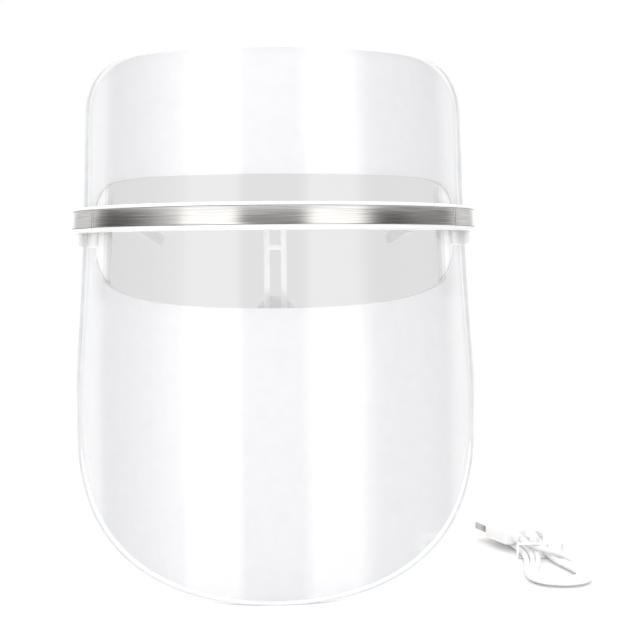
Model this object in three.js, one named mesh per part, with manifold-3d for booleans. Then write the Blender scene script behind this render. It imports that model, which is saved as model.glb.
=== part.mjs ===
// A wearable LED light-therapy face mask: one curved clear sheet that hangs in front of the
// whole face from a brow bar with spectacle temples.
//
// Millimetres, +Z up. The wearer looks along -Y, so the front of the mask faces -Y and +X is
// the wearer's left. The origin is at the nose rest's plane, at the middle of the brow bar's
// height. Most pieces follow the sheet, so they are placed by three lengths: s, round the
// sheet at brow height; n, outwards from the sheet's outer face; and z, the height.

import * as THREE from 'three';
import { mergeVertices } from 'three/addons/utils/BufferGeometryUtils.js';
import Module from 'manifold-3d';

const wasm = await Module();
wasm.setup();

// ---- Driving dimensions ----

const gap = 0.3; // between two pieces that touch
const playOnRail = 0.35; // between the nose carrier and its rails

// The sheet: bent to a cone down to the cheeks, and to a cylinder below them.
const sheetTop = 84;
const sheetBottom = -193.5;
const sheetRadius = 113; // outer face, at brow height
const coneSlope = 0.054; // radius gained per mm going down
const cheekHeight = -95;
const sheetWall = 2;
const noseToSheet = 35; // from the nose rest forward to the sheet's outer face

// The sheet's outline, half of it: a waist at the temples, round top corners and a round chin.
const waistHalf = 135;
const waistHeight = -13;
const waistFlare = 16; // gained 100 mm above or below the waist
const topCornerWidth = 70;
const topCornerHeight = 27.4;
const topCornerPower = 1.7;
const jawHalf = 163;
const jawHeight = -85.5;
const chinPower = 1.6;
const jawPower = 2.2;
const jawBlend = 20; // how sharply the flare turns into the chin's curve

// The clear eye window between the milky films.
const windowHalf = 121.3;
const windowMid = -12;
const windowRise = 32;
const windowDrop = 33.9;
const windowTopPower = 6;
const windowBottomPower = 2.5;
const filmWall = 0.9;
const filmInset = 1.5;
const filmClearance = 0.5; // the films are bonded at their edges only

// The brow bar outside the sheet, and the steel strip let into it.
const barTop = 6.5;
const barBottom = -7.4;
const barDepth = 4;
const barHalf = 108.5; // to the seam with the end block
const barRound = 1.1;
const stripTop = 4.5;
const stripBottom = -4.7;
const stripWall = 0.6;
const stripProud = -0.1; // from the bar's face

// The lamp carrier inside the sheet.
const carrierTop = 5.4;
const carrierBottom = -5;
const carrierDepth = 6.4;
const carrierWall = 1.2;
const lampBoardWall = 0.8;
const lampBoardWidth = 4.2;
const lampCount = 12;
const lampPitch = 18;
const lampSide = 2.6;
const lampHeight = 0.7;
const lampBoardOverhang = 4;

// The electronics.
const controlBoardLength = 36;
const controlBoardHeight = 7.2;
const boardWall = 1;
const cellLength = 30;
const cellHeight = 7.2;
const cellWall = 3.2;

// The screws, all of one size.
const screwRadius = 1;
const screwHeadRadius = 1.9;
const screwHeadHeight = 1.3;
const bossWall = 1.3;
const screwBite = 2.3; // into the bar
const endScrewInset = 5.5; // from the bar's seam, in the end block

// The white plates at the window's ends.
const plateWall = 1.6;
const plateWidth = 16.2;
const plateTop = 17;
const plateBottom = -44;
const plateCorner = 3;

// The end blocks and the temple hinges.
const blockBottom = -14.8;
const blockReach = 18.8; // past the sheet's edge
const blockDepth = 8.2; // inside the sheet
const blockChin = 2.3; // how far the block's lower part stands outside the sheet
const hingeInset = 3.3; // from the block's rear end
const hingeDepth = 5.5; // inside the sheet's outer face
const knuckleRadius = 3.6;
const knuckleHeight = 8.8;
const pinRadius = 1;
const pinPlay = 0.2;
const pinEndWall = 0.9;
const pocketWidth = 12;
const pocketWall = 1.4;

// The charging port and the button, in the wearer's left block.
const portWidth = 7.5;
const portThickness = 2.6;
const portDepth = 5.6;
const buttonRadius = 1.9;
const buttonFlange = 0.45;
const buttonTravel = 0.6;
const buttonProud = 0.8;

// The temples.
const templeLength = 103;
const templeThickness = 3.6;
const templeHeight = 8;
const templeStartAngle = 8; // degrees inwards, at the hinge
const templeEndAngle = 27;
const hookStart = 60;
const hookDrop = 11.5;
const sleeveStart = 66;
const sleeveThickness = 5.2;
const sleeveHeight = 9.4;
const tangThickness = 2.2;
const tangHeight = 5.4;

// The nose bracket and the pad that slides on it.
const bracketHalf = 9.5;
const bracketWall = 2;
const railSpacing = 8.8; // between the rails' middles
const railWidth = 3.2;
const railThickness = 2.2;
const railBottom = -64;
const railTilt = 13; // degrees, bottom end towards the face
const crossbarHeight = -16;
const crossbarWidth = 2.5;
const noseCarrierMiddle = -53;
const noseCarrierHeight = 9;
const noseCarrierWidth = 17;
const noseCarrierThickness = 6;
const noseScrewSpacing = 12.4;
const saddleTop = -42.5;
const saddleBottom = -72;
const saddleCrotch = -60;
const saddleHalf = 16;
const saddleLegGap = 8.5; // half the width between its legs
const saddleThickness = 5;
const saddleLean = 4;

// The charging lead, which lies beside the mask: its own X across, Y along and Z up from the floor
const leadX = 149;
const leadY = 35;
const cordRadius = 1.5;
const hankHalf = 46; // along, to the innermost turn's middle line
const hankBulge = 25; // how much its two loops open
const hankStart = 2.2; // from the hank's middle to the first strand
const hankPitch = 3.6; // between one turn's strand and the next
const hankTurns = 2.3;
const loopFoot = 17; // from the tie to each loop's opening
const tieWall = 0.8;
const tieLength = 3.5;
const plugLean = 22; // degrees, of the power plug
const powerPlugFoot = [-9, 9];
const powerReliefLength = 5;
const powerReliefWidth = 5;
const powerGripLength = 21;
const powerGripWidth = 15;
const powerGripThickness = 8;
const powerShellLength = 13;
const powerShellWidth = 12;
const powerShellThickness = 4.5;
const powerTongueThickness = 1.8;
const powerMouthDepth = 9;
const shellWall = 0.35;
const tonguePlay = 0.3;
const devicePlugX = 0.8;
const deviceReliefLength = 6;
const deviceReliefWidth = 4.4;
const deviceGripLength = 16;
const deviceGripWidth = 9.6;
const deviceGripThickness = 6.6;
const deviceShellLength = 5.6;
const deviceShellWidth = 6.9;
const deviceShellThickness = 1.9;
const deviceMouthDepth = 4;

// ---- Derived places ----

const axisY = sheetRadius - noseToSheet;
const filmOuter = -sheetWall - filmClearance;
const filmInner = filmOuter - filmWall;
const plateOuter = filmInner - gap;
const plateInner = plateOuter - plateWall;
const carrierOuter = plateInner - gap;
const carrierInner = carrierOuter - carrierDepth;
const barInner = gap;
const barOuter = barInner + barDepth;
const stripOuter = barOuter + stripProud;
const stripInner = stripOuter - stripWall;
const grooveFloor = stripInner - gap;
const blockInner = filmOuter - blockDepth;
const blockFront = windowHalf - gap * 2;
const blockEnd = waistHalf + blockReach;
const carrierHalf = blockFront - gap * 1.5;
const plateEnd = carrierHalf - gap;
const hingeS = blockEnd - hingeInset;
const lampSpan = ((lampCount - 1) / 2) * lampPitch + lampBoardOverhang;
const screwTip = barInner + screwBite;
const innerScrews = [28, 72];
const endScrew = barHalf + gap + endScrewInset;
const pocketMiddle = blockFront + pocketWall + pocketWidth / 2;

// ---- Materials ----

function material(color, roughness, metalness = 0, opacity = 1) {
  return new THREE.MeshStandardMaterial({
    color, roughness, metalness, opacity, transparent: opacity < 1, side: THREE.DoubleSide,
  });
}

const clearSheet = material('#e8ecf0', 0.05, 0, 0.35);
const milkyFilm = material('#fbfbfd', 0.35);
const glossWhite = material('#f6f6f6', 0.22);
const mattWhite = material('#ededee', 0.5);
const brushedSteel = material('#9d9a98', 0.35, 1);
const screwSteel = material('#8f9194', 0.3, 1);
const boardGreen = material('#23593a', 0.5);
const lampBoardWhite = material('#f2f2ea', 0.4);
const cellFoil = material('#b9bcc0', 0.4, 0.6);
const portSteel = material('#b4b4b2', 0.3, 1);
const silicone = material('#d7d9dc', 0.6);
const padSilicone = material('#c3c8cd', 0.55);
const cordWhite = material('#ececeb', 0.5);

// ---- Solids ----

/** The sheet's outer radius at a height. */
function radiusAt(z) {
  return sheetRadius - coneSlope * Math.max(z, cheekHeight);
}

/** The point `s` round the sheet, `n` outside its outer face, at height `z`. */
function onSheet(s, n, z) {
  const angle = s / sheetRadius;
  const radius = radiusAt(z) + n;
  return new THREE.Vector3(radius * Math.sin(angle), axisY - radius * Math.cos(angle), z);
}

/** A frame at such a point: X round the sheet, Y towards the face, Z up. */
function frameOnSheet(s, n, z) {
  return new THREE.Matrix4().makeRotationZ(s / sheetRadius).setPosition(onSheet(s, n, z));
}

/** Six times the signed volume inside a mesh's triangles. */
function signedVolume(points, index) {
  let total = 0;
  for (let i = 0; i < index.length; i += 3) {
    const [a, b, c] = [points[index[i]], points[index[i + 1]], points[index[i + 2]]];
    total += a.dot(new THREE.Vector3().crossVectors(b, c));
  }
  return total;
}

/** A closed geometry from points and triangles, with merged points and its faces outwards. */
function closed(points, index) {
  const keys = new Map();
  const kept = [];
  const renumbered = points.map((point) => {
    const key = point.toArray().map((value) => value.toFixed(4)).join();
    if (!keys.has(key)) keys.set(key, kept.push(point) - 1);
    return keys.get(key);
  });
  let triangles = [];
  for (let i = 0; i < index.length; i += 3) {
    const [a, b, c] = [0, 1, 2].map((k) => renumbered[index[i + k]]);
    if (a !== b && b !== c && c !== a) triangles.push([a, b, c]);
  }
  if (signedVolume(kept, triangles.flat()) < 0) triangles = triangles.map((t) => t.reverse());
  const geometry = new THREE.BufferGeometry().setFromPoints(kept);
  geometry.setIndex(triangles.flat());
  return geometry;
}

/** A solid through rings of equal point counts, closed at both ends with flat caps. */
function loft(rings) {
  const count = rings[0].length;
  const points = rings.flat();
  const index = [];
  for (let r = 0; r < rings.length - 1; r++) {
    for (let i = 0; i < count; i++) {
      const [a, b] = [r * count + i, r * count + ((i + 1) % count)];
      index.push(a, b, b + count, a, b + count, a + count);
    }
  }
  const last = (rings.length - 1) * count;
  for (const [a, b, c] of capTriangles(rings[0])) index.push(c, b, a);
  for (const [a, b, c] of capTriangles(rings[rings.length - 1])) {
    index.push(last + a, last + b, last + c);
  }
  return closed(points, index);
}

/** Triangles over a flat ring, as indices in its order. */
function capTriangles(ring) {
  const normal = new THREE.Vector3();
  ring.forEach((p, i) => normal.add(new THREE.Vector3().crossVectors(p, ring[(i + 1) % ring.length])));
  normal.normalize();
  const across = new THREE.Vector3(0.31, 0.57, 0.76).cross(normal).normalize();
  const along = new THREE.Vector3().crossVectors(normal, across);
  const flat = ring.map((p) => new THREE.Vector2(p.dot(across), p.dot(along)));
  return THREE.ShapeUtils.triangulateShape(flat, []);
}

/** A solid whose (n, z) profile is swept round the sheet from one s to another. */
function bent(profile, from, to, step = 8) {
  const steps = Math.max(1, Math.ceil((to - from) / step));
  const rings = [];
  for (let i = 0; i <= steps; i++) {
    const s = from + ((to - from) * i) / steps;
    rings.push(profile.map(([n, z]) => onSheet(s, n, z)));
  }
  return loft(rings);
}

/** A rectangular (n, z) profile, with its outer two corners rounded if asked. */
function barProfile(inner, outer, bottom, top, round = 0) {
  if (!round) return [[inner, bottom], [outer, bottom], [outer, top], [inner, top]];
  const corner = (n, z, start) => [0, 45, 90].map((turn) => {
    const angle = THREE.MathUtils.degToRad(start + turn);
    return [n + round * Math.cos(angle), z + round * Math.sin(angle)];
  });
  return [
    [inner, bottom], ...corner(outer - round, bottom + round, -90),
    ...corner(outer - round, top - round, 0), [inner, top],
  ];
}

/** A geometry with only merged positions, moved by a matrix. */
function placed(geometry, matrix = new THREE.Matrix4()) {
  const bare = geometry.clone();
  bare.deleteAttribute('normal');
  bare.deleteAttribute('uv');
  return mergeVertices(bare).applyMatrix4(matrix);
}

/** The same piece on the other side of the mask. */
function mirrored(geometry) {
  const copy = geometry.clone().applyMatrix4(new THREE.Matrix4().makeScale(-1, 1, 1));
  const index = copy.index.array;
  for (let i = 0; i < index.length; i += 3) [index[i], index[i + 1]] = [index[i + 1], index[i]];
  return copy;
}

/** A box in a frame, given by its lowest and highest corners. */
function boxIn(frame, low, high) {
  const size = high.map((value, i) => value - low[i]);
  const middle = high.map((value, i) => (value + low[i]) / 2);
  const matrix = frame.clone().multiply(new THREE.Matrix4().makeTranslation(...middle));
  return placed(new THREE.BoxGeometry(...size), matrix);
}

/** A cylinder along the sheet's own n direction, between two n. */
function rodOutwards(s, z, from, to, radius, sides = 10) {
  const rod = new THREE.CylinderGeometry(radius, radius, to - from, sides);
  return placed(rod, frameOnSheet(s, (from + to) / 2, z));
}

/** An upright cylinder between two heights. */
function rodUp(x, y, from, to, radius, sides = 24) {
  const rod = new THREE.CylinderGeometry(radius, radius, to - from, sides).rotateX(Math.PI / 2);
  return placed(rod, new THREE.Matrix4().makeTranslation(x, y, (from + to) / 2));
}

function toSolid(geometry) {
  const mesh = new wasm.Mesh({
    numProp: 3,
    vertProperties: new Float32Array(geometry.attributes.position.array),
    triVerts: new Uint32Array(geometry.index.array),
  });
  return new wasm.Manifold(mesh);
}

function fromSolid(solid) {
  const { vertProperties, triVerts } = solid.getMesh();
  const geometry = new THREE.BufferGeometry();
  geometry.setAttribute('position', new THREE.BufferAttribute(vertProperties, 3));
  geometry.setIndex(new THREE.BufferAttribute(triVerts, 1));
  return geometry;
}

/** Joins some geometries and cuts others from the result. */
function combine(added, removed = []) {
  let solid = toSolid(added[0]);
  for (const geometry of added.slice(1)) solid = solid.add(toSolid(geometry));
  for (const geometry of removed) solid = solid.subtract(toSolid(geometry));
  return fromSolid(solid);
}

// ---- The sheet and its films ----

/** Half the sheet's width round the sheet, before its corners are cut. */
function flaredHalf(z) {
  return waistHalf + waistFlare * ((z - waistHeight) / 100) ** 2;
}

/** Half the sheet's width round the sheet, at a height. */
function sheetHalf(z) {
  const above = Math.min(1, Math.max(0, (z - sheetTop + topCornerHeight) / topCornerHeight));
  const corner = topCornerWidth * (1 - (1 - above ** topCornerPower) ** (1 / topCornerPower));
  const below = Math.min(1, Math.max(0, (jawHeight - z) / (jawHeight - sheetBottom)));
  const chin = jawHalf * (1 - below ** chinPower) ** (1 / jawPower);
  if (chin <= 0) return 0;
  if (z > jawHeight) return flaredHalf(z) - corner;
  return (flaredHalf(z) ** -jawBlend + chin ** -jawBlend) ** (-1 / jawBlend);
}

/**
 * How high or low the outline reaches on the upright line at `share` of the half width, for an
 * outline `inset` inside the sheet's own. `end` is the sheet's top or bottom.
 */
function outlineHeight(share, end, inset) {
  const way = Math.sign(end - waistHeight);
  const room = (z) => (sheetHalf(z + way * inset) - inset) / (flaredHalf(z) - inset) - share;
  let [inside, outside] = [waistHeight, end - way * inset];
  if (room(outside) >= 0) return outside;
  for (let i = 0; i < 40; i++) {
    const middle = (inside + outside) / 2;
    if (room(middle) >= 0) inside = middle;
    else outside = middle;
  }
  return inside;
}

/**
 * A thin solid that follows the sheet between two n. `ends(s, low, high)` gives the heights
 * between which it fills the upright line at s, where the inset outline runs from low to high.
 * The upright lines crowd together towards the sheet's sides, where its outline is steep.
 */
function sheetSolid(outer, inner, inset, columns, rows, ends) {
  const points = [];
  for (const n of [outer, inner]) {
    for (let j = 0; j <= rows; j++) {
      for (let i = 0; i <= columns; i++) {
        const u = Math.sin((i / columns - 0.5) * Math.PI);
        const share = Math.abs(u);
        const [low, high] = ends(u * (waistHalf - inset),
          outlineHeight(share, sheetBottom, inset), outlineHeight(share, sheetTop, inset));
        const z = low + ((high - low) * j) / rows;
        points.push(onSheet(u * (flaredHalf(z) - inset), n, z));
      }
    }
  }
  return gridSolid(points, columns, rows);
}

/** The closed solid between two grids of points, the outer grid first. */
function gridSolid(points, columns, rows) {
  const at = (side, i, j) => (side * (rows + 1) + j) * (columns + 1) + i;
  const index = [];
  const quad = (a, b, c, d) => index.push(a, b, c, a, c, d);
  for (let j = 0; j < rows; j++) {
    for (let i = 0; i < columns; i++) {
      quad(at(0, i, j), at(0, i + 1, j), at(0, i + 1, j + 1), at(0, i, j + 1));
      quad(at(1, i, j), at(1, i, j + 1), at(1, i + 1, j + 1), at(1, i + 1, j));
    }
    quad(at(0, 0, j), at(0, 0, j + 1), at(1, 0, j + 1), at(1, 0, j));
    quad(at(0, columns, j), at(1, columns, j), at(1, columns, j + 1), at(0, columns, j + 1));
  }
  for (let i = 0; i < columns; i++) {
    quad(at(0, i, 0), at(1, i, 0), at(1, i + 1, 0), at(0, i + 1, 0));
    quad(at(0, i, rows), at(0, i + 1, rows), at(1, i + 1, rows), at(1, i, rows));
  }
  return closed(points, index);
}

function shield() {
  const body = sheetSolid(0, -sheetWall, 0, 36, 14, (s, low, high) => [low, high]);
  const holes = screwPlaces().map(([s, z]) => (
    rodOutwards(s, z, -sheetWall - 1, 1, screwRadius + gap)
  ));
  return combine([body], holes);
}

/** The eye window's edge: its upper side for `rise` > 0, its lower side for `rise` < 0. */
function windowEdge(s, rise, power) {
  const across = Math.min(1, Math.abs(s) / windowHalf);
  return windowMid + rise * (1 - across ** power) ** (1 / power);
}

/** The film stops at the window's edge, and beyond its ends at the end blocks. */
function foreheadFilm() {
  const lowest = barTop + gap * 1.5;
  return sheetSolid(filmOuter, filmInner, filmInset, 36, 6, (s, low, high) => (
    [Math.max(lowest, windowEdge(s, windowRise, windowTopPower)), high]
  ));
}

function cheekFilm() {
  const highest = blockBottom - gap * 1.5;
  return sheetSolid(filmOuter, filmInner, filmInset, 36, 9, (s, low) => (
    [low, Math.min(highest, windowEdge(s, -windowDrop, windowBottomPower))]
  ));
}

// ---- The bar, the lamp carrier and their screws ----

/** Every screw that clamps the sheet, as [s, z]. */
function screwPlaces() {
  return [...innerScrews, endScrew].flatMap((s) => [[s, 0], [-s, 0]]);
}

function grooveProfile() {
  return barProfile(grooveFloor, barOuter + 1, stripBottom - gap, stripTop + gap);
}

function screwHoleInBar(s, z) {
  return rodOutwards(s, z, barInner - 1, screwTip + gap, screwRadius + gap);
}

function frontBar() {
  const body = bent(barProfile(barInner, barOuter, barBottom, barTop, barRound), -barHalf, barHalf);
  const groove = bent(grooveProfile(), -barHalf - 2, barHalf + 2);
  const holes = innerScrews.flatMap((s) => [screwHoleInBar(s, 0), screwHoleInBar(-s, 0)]);
  return combine([body], [groove, ...holes]);
}

function trimStrip(from, to) {
  return bent(barProfile(stripInner, stripOuter, stripBottom, stripTop), from, to);
}

function lampCarrier() {
  const body = bent(barProfile(carrierInner, carrierOuter, carrierBottom, carrierTop),
    -carrierHalf, carrierHalf);
  const channel = bent(barProfile(carrierInner + carrierWall, carrierOuter + 1,
    carrierBottom + carrierWall, carrierTop - carrierWall), -carrierHalf - 2, carrierHalf + 2);
  const floor = carrierInner + carrierWall / 2;
  const boss = screwRadius + gap + bossWall;
  const hollow = combine([body], [channel]);
  const inner = innerScrews.flatMap((s) => [s, -s]).map((s) => (
    rodOutwards(s, 0, floor, -sheetWall - gap, boss)
  ));
  const outer = [endScrew, -endScrew].map((s) => rodOutwards(s, 0, floor, carrierOuter, boss));
  const holes = screwPlaces().map(([s, z]) => (
    rodOutwards(s, z, carrierInner - 1, 0, screwRadius + gap)
  ));
  const noseHoles = noseScrewPlaces().map(([s, z]) => (
    rodOutwards(s, z, carrierInner - 1, noseScrewTip() + gap, screwRadius + gap)
  ));
  return combine([hollow, ...inner, ...outer], [...holes, ...noseHoles]);
}

/** A lamp board above (`side` 1) or below (-1) the carrier, with its lamps soldered on. */
function lampStrip(side) {
  const face = (side > 0 ? carrierTop : carrierBottom) + side * gap;
  const far = face + side * lampBoardWall;
  const middle = (carrierInner + carrierOuter) / 2;
  const [bottom, top] = [Math.min(face, far), Math.max(face, far)];
  const board = bent(barProfile(middle - lampBoardWidth / 2, middle + lampBoardWidth / 2,
    bottom, top), -lampSpan, lampSpan);
  const lamps = [];
  for (let i = 0; i < lampCount; i++) {
    const s = (i - (lampCount - 1) / 2) * lampPitch;
    const frame = frameOnSheet(s, middle, far);
    const reach = side * lampHeight;
    lamps.push(boxIn(frame, [-lampSide / 2, -lampSide / 2, Math.min(-0.1 * side, reach)],
      [lampSide / 2, lampSide / 2, Math.max(-0.1 * side, reach)]));
  }
  return combine([board, ...lamps]);
}

function screw(s, z, headBase, tip) {
  const length = tip - headBase;
  const profile = [
    [0, -screwHeadHeight], [screwHeadRadius * 0.7, -screwHeadHeight],
    [screwHeadRadius, -screwHeadHeight * 0.6], [screwHeadRadius, 0], [screwRadius, 0],
    [screwRadius, length - screwRadius], [0, length],
  ].map(([radius, height]) => new THREE.Vector2(radius, height));
  const turned = new THREE.LatheGeometry(profile, 12).rotateX(Math.PI);
  return closedCopy(placed(turned, frameOnSheet(s, headBase, z)));
}

/** Rebuilds an indexed geometry with merged points and outward faces. */
function closedCopy(geometry) {
  const points = [];
  const { position } = geometry.attributes;
  for (let i = 0; i < position.count; i++) {
    points.push(new THREE.Vector3().fromBufferAttribute(position, i));
  }
  return closed(points, [...geometry.index.array]);
}

function clampScrew(s) {
  return screw(s, 0, carrierInner - gap, screwTip);
}

function sidePlate() {
  const [columns, rows] = [3, 14];
  const points = [];
  for (const n of [plateOuter, plateInner]) {
    for (let j = 0; j <= rows; j++) {
      const z = plateBottom + ((plateTop - plateBottom) * (1 - Math.cos((j / rows) * Math.PI))) / 2;
      const toEnd = Math.min(plateCorner, z - plateBottom, plateTop - z);
      const inset = plateCorner - Math.sqrt(plateCorner ** 2 - (plateCorner - toEnd) ** 2);
      for (let i = 0; i <= columns; i++) {
        const s = plateEnd - inset - ((plateWidth - inset * 2) * i) / columns;
        points.push(onSheet(s, n, z));
      }
    }
  }
  const hole = rodOutwards(endScrew, 0, plateInner - 1, plateOuter + 1, screwRadius + gap);
  return combine([gridSolid(points, columns, rows)], [hole]);
}

// ---- The electronics ----

/** A flat board across the sheet's chord at s, as [frame, half length]. */
function chordFrame(s, n) {
  return frameOnSheet(s, n, (carrierTop + carrierBottom) / 2);
}

/** How far a chord of a length stands off the arc that carries it. */
function sagitta(length, n) {
  return length ** 2 / 8 / (radiusAt(0) + n);
}

function controlBoard() {
  const back = carrierInner + carrierWall + gap;
  const frame = chordFrame(0, back + sagitta(controlBoardLength, back));
  const half = [controlBoardLength / 2, controlBoardHeight / 2];
  const board = boxIn(frame, [-half[0], -boardWall, -half[1]], [half[0], 0, half[1]]);
  const chips = [[-11, 5], [0, 4], [10, 3]].map(([x, side]) => (
    boxIn(frame, [x - side / 2, -boardWall - 1.1, -side / 2], [x + side / 2, -boardWall + 0.1, side / 2])
  ));
  return combine([board, ...chips]);
}

function cell(s) {
  const back = carrierInner + carrierWall + gap;
  const frame = chordFrame(s, back + sagitta(cellLength, back));
  return boxIn(frame, [-cellLength / 2, -cellWall, -cellHeight / 2],
    [cellLength / 2, 0, cellHeight / 2]);
}

const pocketBottom = blockBottom + pocketWall;
const pocketTop = barTop - pocketWall - 0.4;
const pocketBack = blockInner + pocketWall;
const pocketFront = filmOuter - pocketWall;
const portBoardBack = pocketBack + gap;
const portBoardFront = portBoardBack + boardWall;

/** The pocket's frame: X round the sheet, -Y outwards, Z from the bar's middle height. */
function pocketFrame(n) {
  return frameOnSheet(pocketMiddle, n, 0);
}

function portBoard() {
  const frame = pocketFrame(portBoardBack);
  const half = pocketWidth / 2 - gap * 2;
  const flangeBottom = pocketTop - gap - 0.8;
  const switchTop = flangeBottom - buttonTravel - gap;
  const board = boxIn(frame, [-half, -boardWall, pocketBottom + gap], [half, 0, switchTop - 0.4]);
  const tactSwitch = boxIn(frame, [-2.2, -boardWall - 2.6, switchTop - 3], [2.2, -0.4, switchTop]);
  return combine([board, tactSwitch]);
}

function usbSocket() {
  const frame = pocketFrame(portBoardFront + gap);
  const half = portWidth / 2;
  const mouth = 0.4; // sheet metal
  const shell = boxIn(frame, [-half, -portThickness, blockBottom + gap],
    [half, 0, blockBottom + gap + portDepth]);
  const opening = boxIn(frame, [-half + mouth, -portThickness + mouth, blockBottom - 1],
    [half - mouth, -mouth, blockBottom + gap + portDepth - 1]);
  const tongue = boxIn(frame, [-half + 1.6, -portThickness / 2 - 0.3, blockBottom + 1.2],
    [half - 1.6, -portThickness / 2 + 0.3, blockBottom + portDepth]);
  return combine([combine([shell], [opening]), tongue]);
}

const buttonN = (pocketBack + pocketFront) / 2;

function powerButton() {
  const centre = onSheet(pocketMiddle, buttonN, 0);
  const flangeBottom = pocketTop - gap - 0.8;
  const flange = rodUp(centre.x, centre.y, flangeBottom, pocketTop - gap, buttonRadius + buttonFlange);
  const stem = rodUp(centre.x, centre.y, flangeBottom + 0.2, barTop + buttonProud, buttonRadius);
  return combine([flange, stem]);
}

// ---- The end blocks and their hinges ----

const hinge = onSheet(hingeS, -hingeDepth, 0);

function hingeSlot() {
  const frame = frameOnSheet(hingeS, -hingeDepth, 0);
  const reach = 14;
  const round = knuckleRadius + gap * 2;
  const half = knuckleHeight / 2 + gap;
  return boxIn(frame, [-round, -round, -half], [reach, reach, half]);
}

/** The wearer's left block; only that one holds the port and the button. */
function endBlock(hasPort) {
  const start = barHalf + gap;
  const slotEnd = waistHalf + 1.3;
  const barPart = bent(barProfile(barInner, barOuter, barBottom, barTop, barRound), start, blockEnd, 4);
  const innerPart = bent(barProfile(blockInner, filmOuter, blockBottom, barTop),
    blockFront, blockEnd, 4);
  const bridge = bent(barProfile(filmOuter - 0.5, barInner + 0.5, blockBottom, barTop),
    slotEnd, blockEnd, 4);
  const chin = bent(barProfile(filmOuter - 0.5, blockChin, blockBottom, barBottom + 0.5, barRound),
    slotEnd, blockEnd - 0.8, 4);
  const removed = [
    bent(grooveProfile(), start - 1, blockEnd - 1.6, 4),
    screwHoleInBar(endScrew, 0),
    hingeSlot(),
    rodUp(hinge.x, hinge.y, blockBottom + pinEndWall, barTop - pinEndWall, pinRadius + gap),
    pocketCut(),
  ];
  if (hasPort) removed.push(portMouth(), buttonHole());
  else removed.push(drainHole());
  return combine([barPart, innerPart, bridge, chin], removed);
}

function pocketCut() {
  return boxIn(pocketFrame(pocketBack), [-pocketWidth / 2, -(pocketFront - pocketBack), pocketBottom],
    [pocketWidth / 2, 0, pocketTop]);
}

function portMouth() {
  const frame = pocketFrame(portBoardFront + gap);
  const half = portWidth / 2 + gap;
  return boxIn(frame, [-half, -portThickness - gap, blockBottom - 1], [half, gap, pocketBottom + 1]);
}

function buttonHole() {
  const centre = onSheet(pocketMiddle, buttonN, 0);
  return rodUp(centre.x, centre.y, pocketTop - 1, barTop + 1, buttonRadius + gap);
}

/** The empty pocket on the other side opens through a slot for the wires. */
function drainHole() {
  return boxIn(pocketFrame(buttonN), [-pocketWidth / 2 - pocketWall - 2, -1.5, -1.5],
    [-pocketWidth / 2 + 1, 1.5, 1.5]);
}

function hingePin() {
  return rodUp(hinge.x, hinge.y, blockBottom + pinEndWall + gap, barTop - pinEndWall - gap, pinRadius, 20);
}

// ---- The temples ----

/** The temple's middle line `length` from the hinge: its point and its frame's directions. */
function alongTemple(length) {
  const start = THREE.MathUtils.degToRad(templeStartAngle);
  const turn = THREE.MathUtils.degToRad(templeEndAngle - templeStartAngle) / templeLength;
  const heading = start + turn * length;
  const x = hinge.x - (Math.cos(start) - Math.cos(heading)) / turn;
  const y = hinge.y + (Math.sin(heading) - Math.sin(start)) / turn;
  const along = Math.max(0, length - hookStart) / (templeLength - hookStart);
  const z = -hookDrop * along ** 1.6;
  const slope = (-1.6 * hookDrop * along ** 0.6) / (templeLength - hookStart);
  const forward = new THREE.Vector3(-Math.sin(heading), Math.cos(heading), slope).normalize();
  const side = new THREE.Vector3(Math.cos(heading), Math.sin(heading), 0);
  return { point: new THREE.Vector3(x, y, z), side, up: new THREE.Vector3().crossVectors(side, forward) };
}

/** A rounded rectangle across the temple. */
function templeRing(length, thickness, height, corners = 2) {
  const { point, side, up } = alongTemple(length);
  const round = Math.min(thickness, height) * 0.42;
  const ring = [];
  for (let quarter = 0; quarter < 4; quarter++) {
    const cx = (quarter === 0 || quarter === 3 ? 1 : -1) * (thickness / 2 - round);
    const cz = (quarter < 2 ? 1 : -1) * (height / 2 - round);
    for (let i = 0; i <= corners; i++) {
      const angle = (quarter + i / corners) * (Math.PI / 2);
      const [a, b] = [cx + round * Math.cos(angle), cz + round * Math.sin(angle)];
      ring.push(point.clone().addScaledVector(side, a).addScaledVector(up, b));
    }
  }
  return ring;
}

function temple() {
  const rings = [];
  for (let i = 0; i <= 10; i++) {
    const length = 1 + ((sleeveStart - gap - 1) * i) / 10;
    rings.push(templeRing(length, templeThickness, templeHeight));
  }
  const tang = [];
  for (let i = 0; i <= 5; i++) {
    const length = sleeveStart - 2 + ((templeLength - 8 - sleeveStart + 2) * i) / 5;
    tang.push(templeRing(length, tangThickness, tangHeight));
  }
  const half = knuckleHeight / 2;
  const knuckle = rodUp(hinge.x, hinge.y, -half, half, knuckleRadius);
  const bore = rodUp(hinge.x, hinge.y, -half - 1, half + 1, pinRadius + pinPlay);
  return combine([knuckle, loft(rings), loft(tang)], [bore]);
}

function templeSleeve() {
  const outer = [];
  const roundness = [0, 0.5, 0.8, 0.95, 1];
  for (let i = 0; i <= 8; i++) {
    const length = sleeveStart + ((templeLength - 4 - sleeveStart) * i) / 8;
    outer.push(templeRing(length, sleeveThickness, sleeveHeight));
  }
  for (const turn of roundness.slice(1)) {
    const length = templeLength - 4 + 4 * turn;
    const shrink = Math.sqrt(Math.max(0.03, 1 - turn ** 2));
    outer.push(templeRing(length, sleeveThickness * shrink, sleeveHeight * shrink));
  }
  const inner = [];
  for (let i = 0; i <= 5; i++) {
    const length = sleeveStart - 2 + ((templeLength - 8 + gap - sleeveStart + 2) * i) / 5;
    inner.push(templeRing(length, tangThickness + gap * 2, tangHeight + gap * 2));
  }
  return combine([loft(outer)], [loft(inner)]);
}

// ---- The nose bracket and its pad ----

const bracketOuter = carrierInner - gap;
const bracketInner = bracketOuter - bracketWall;

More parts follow.
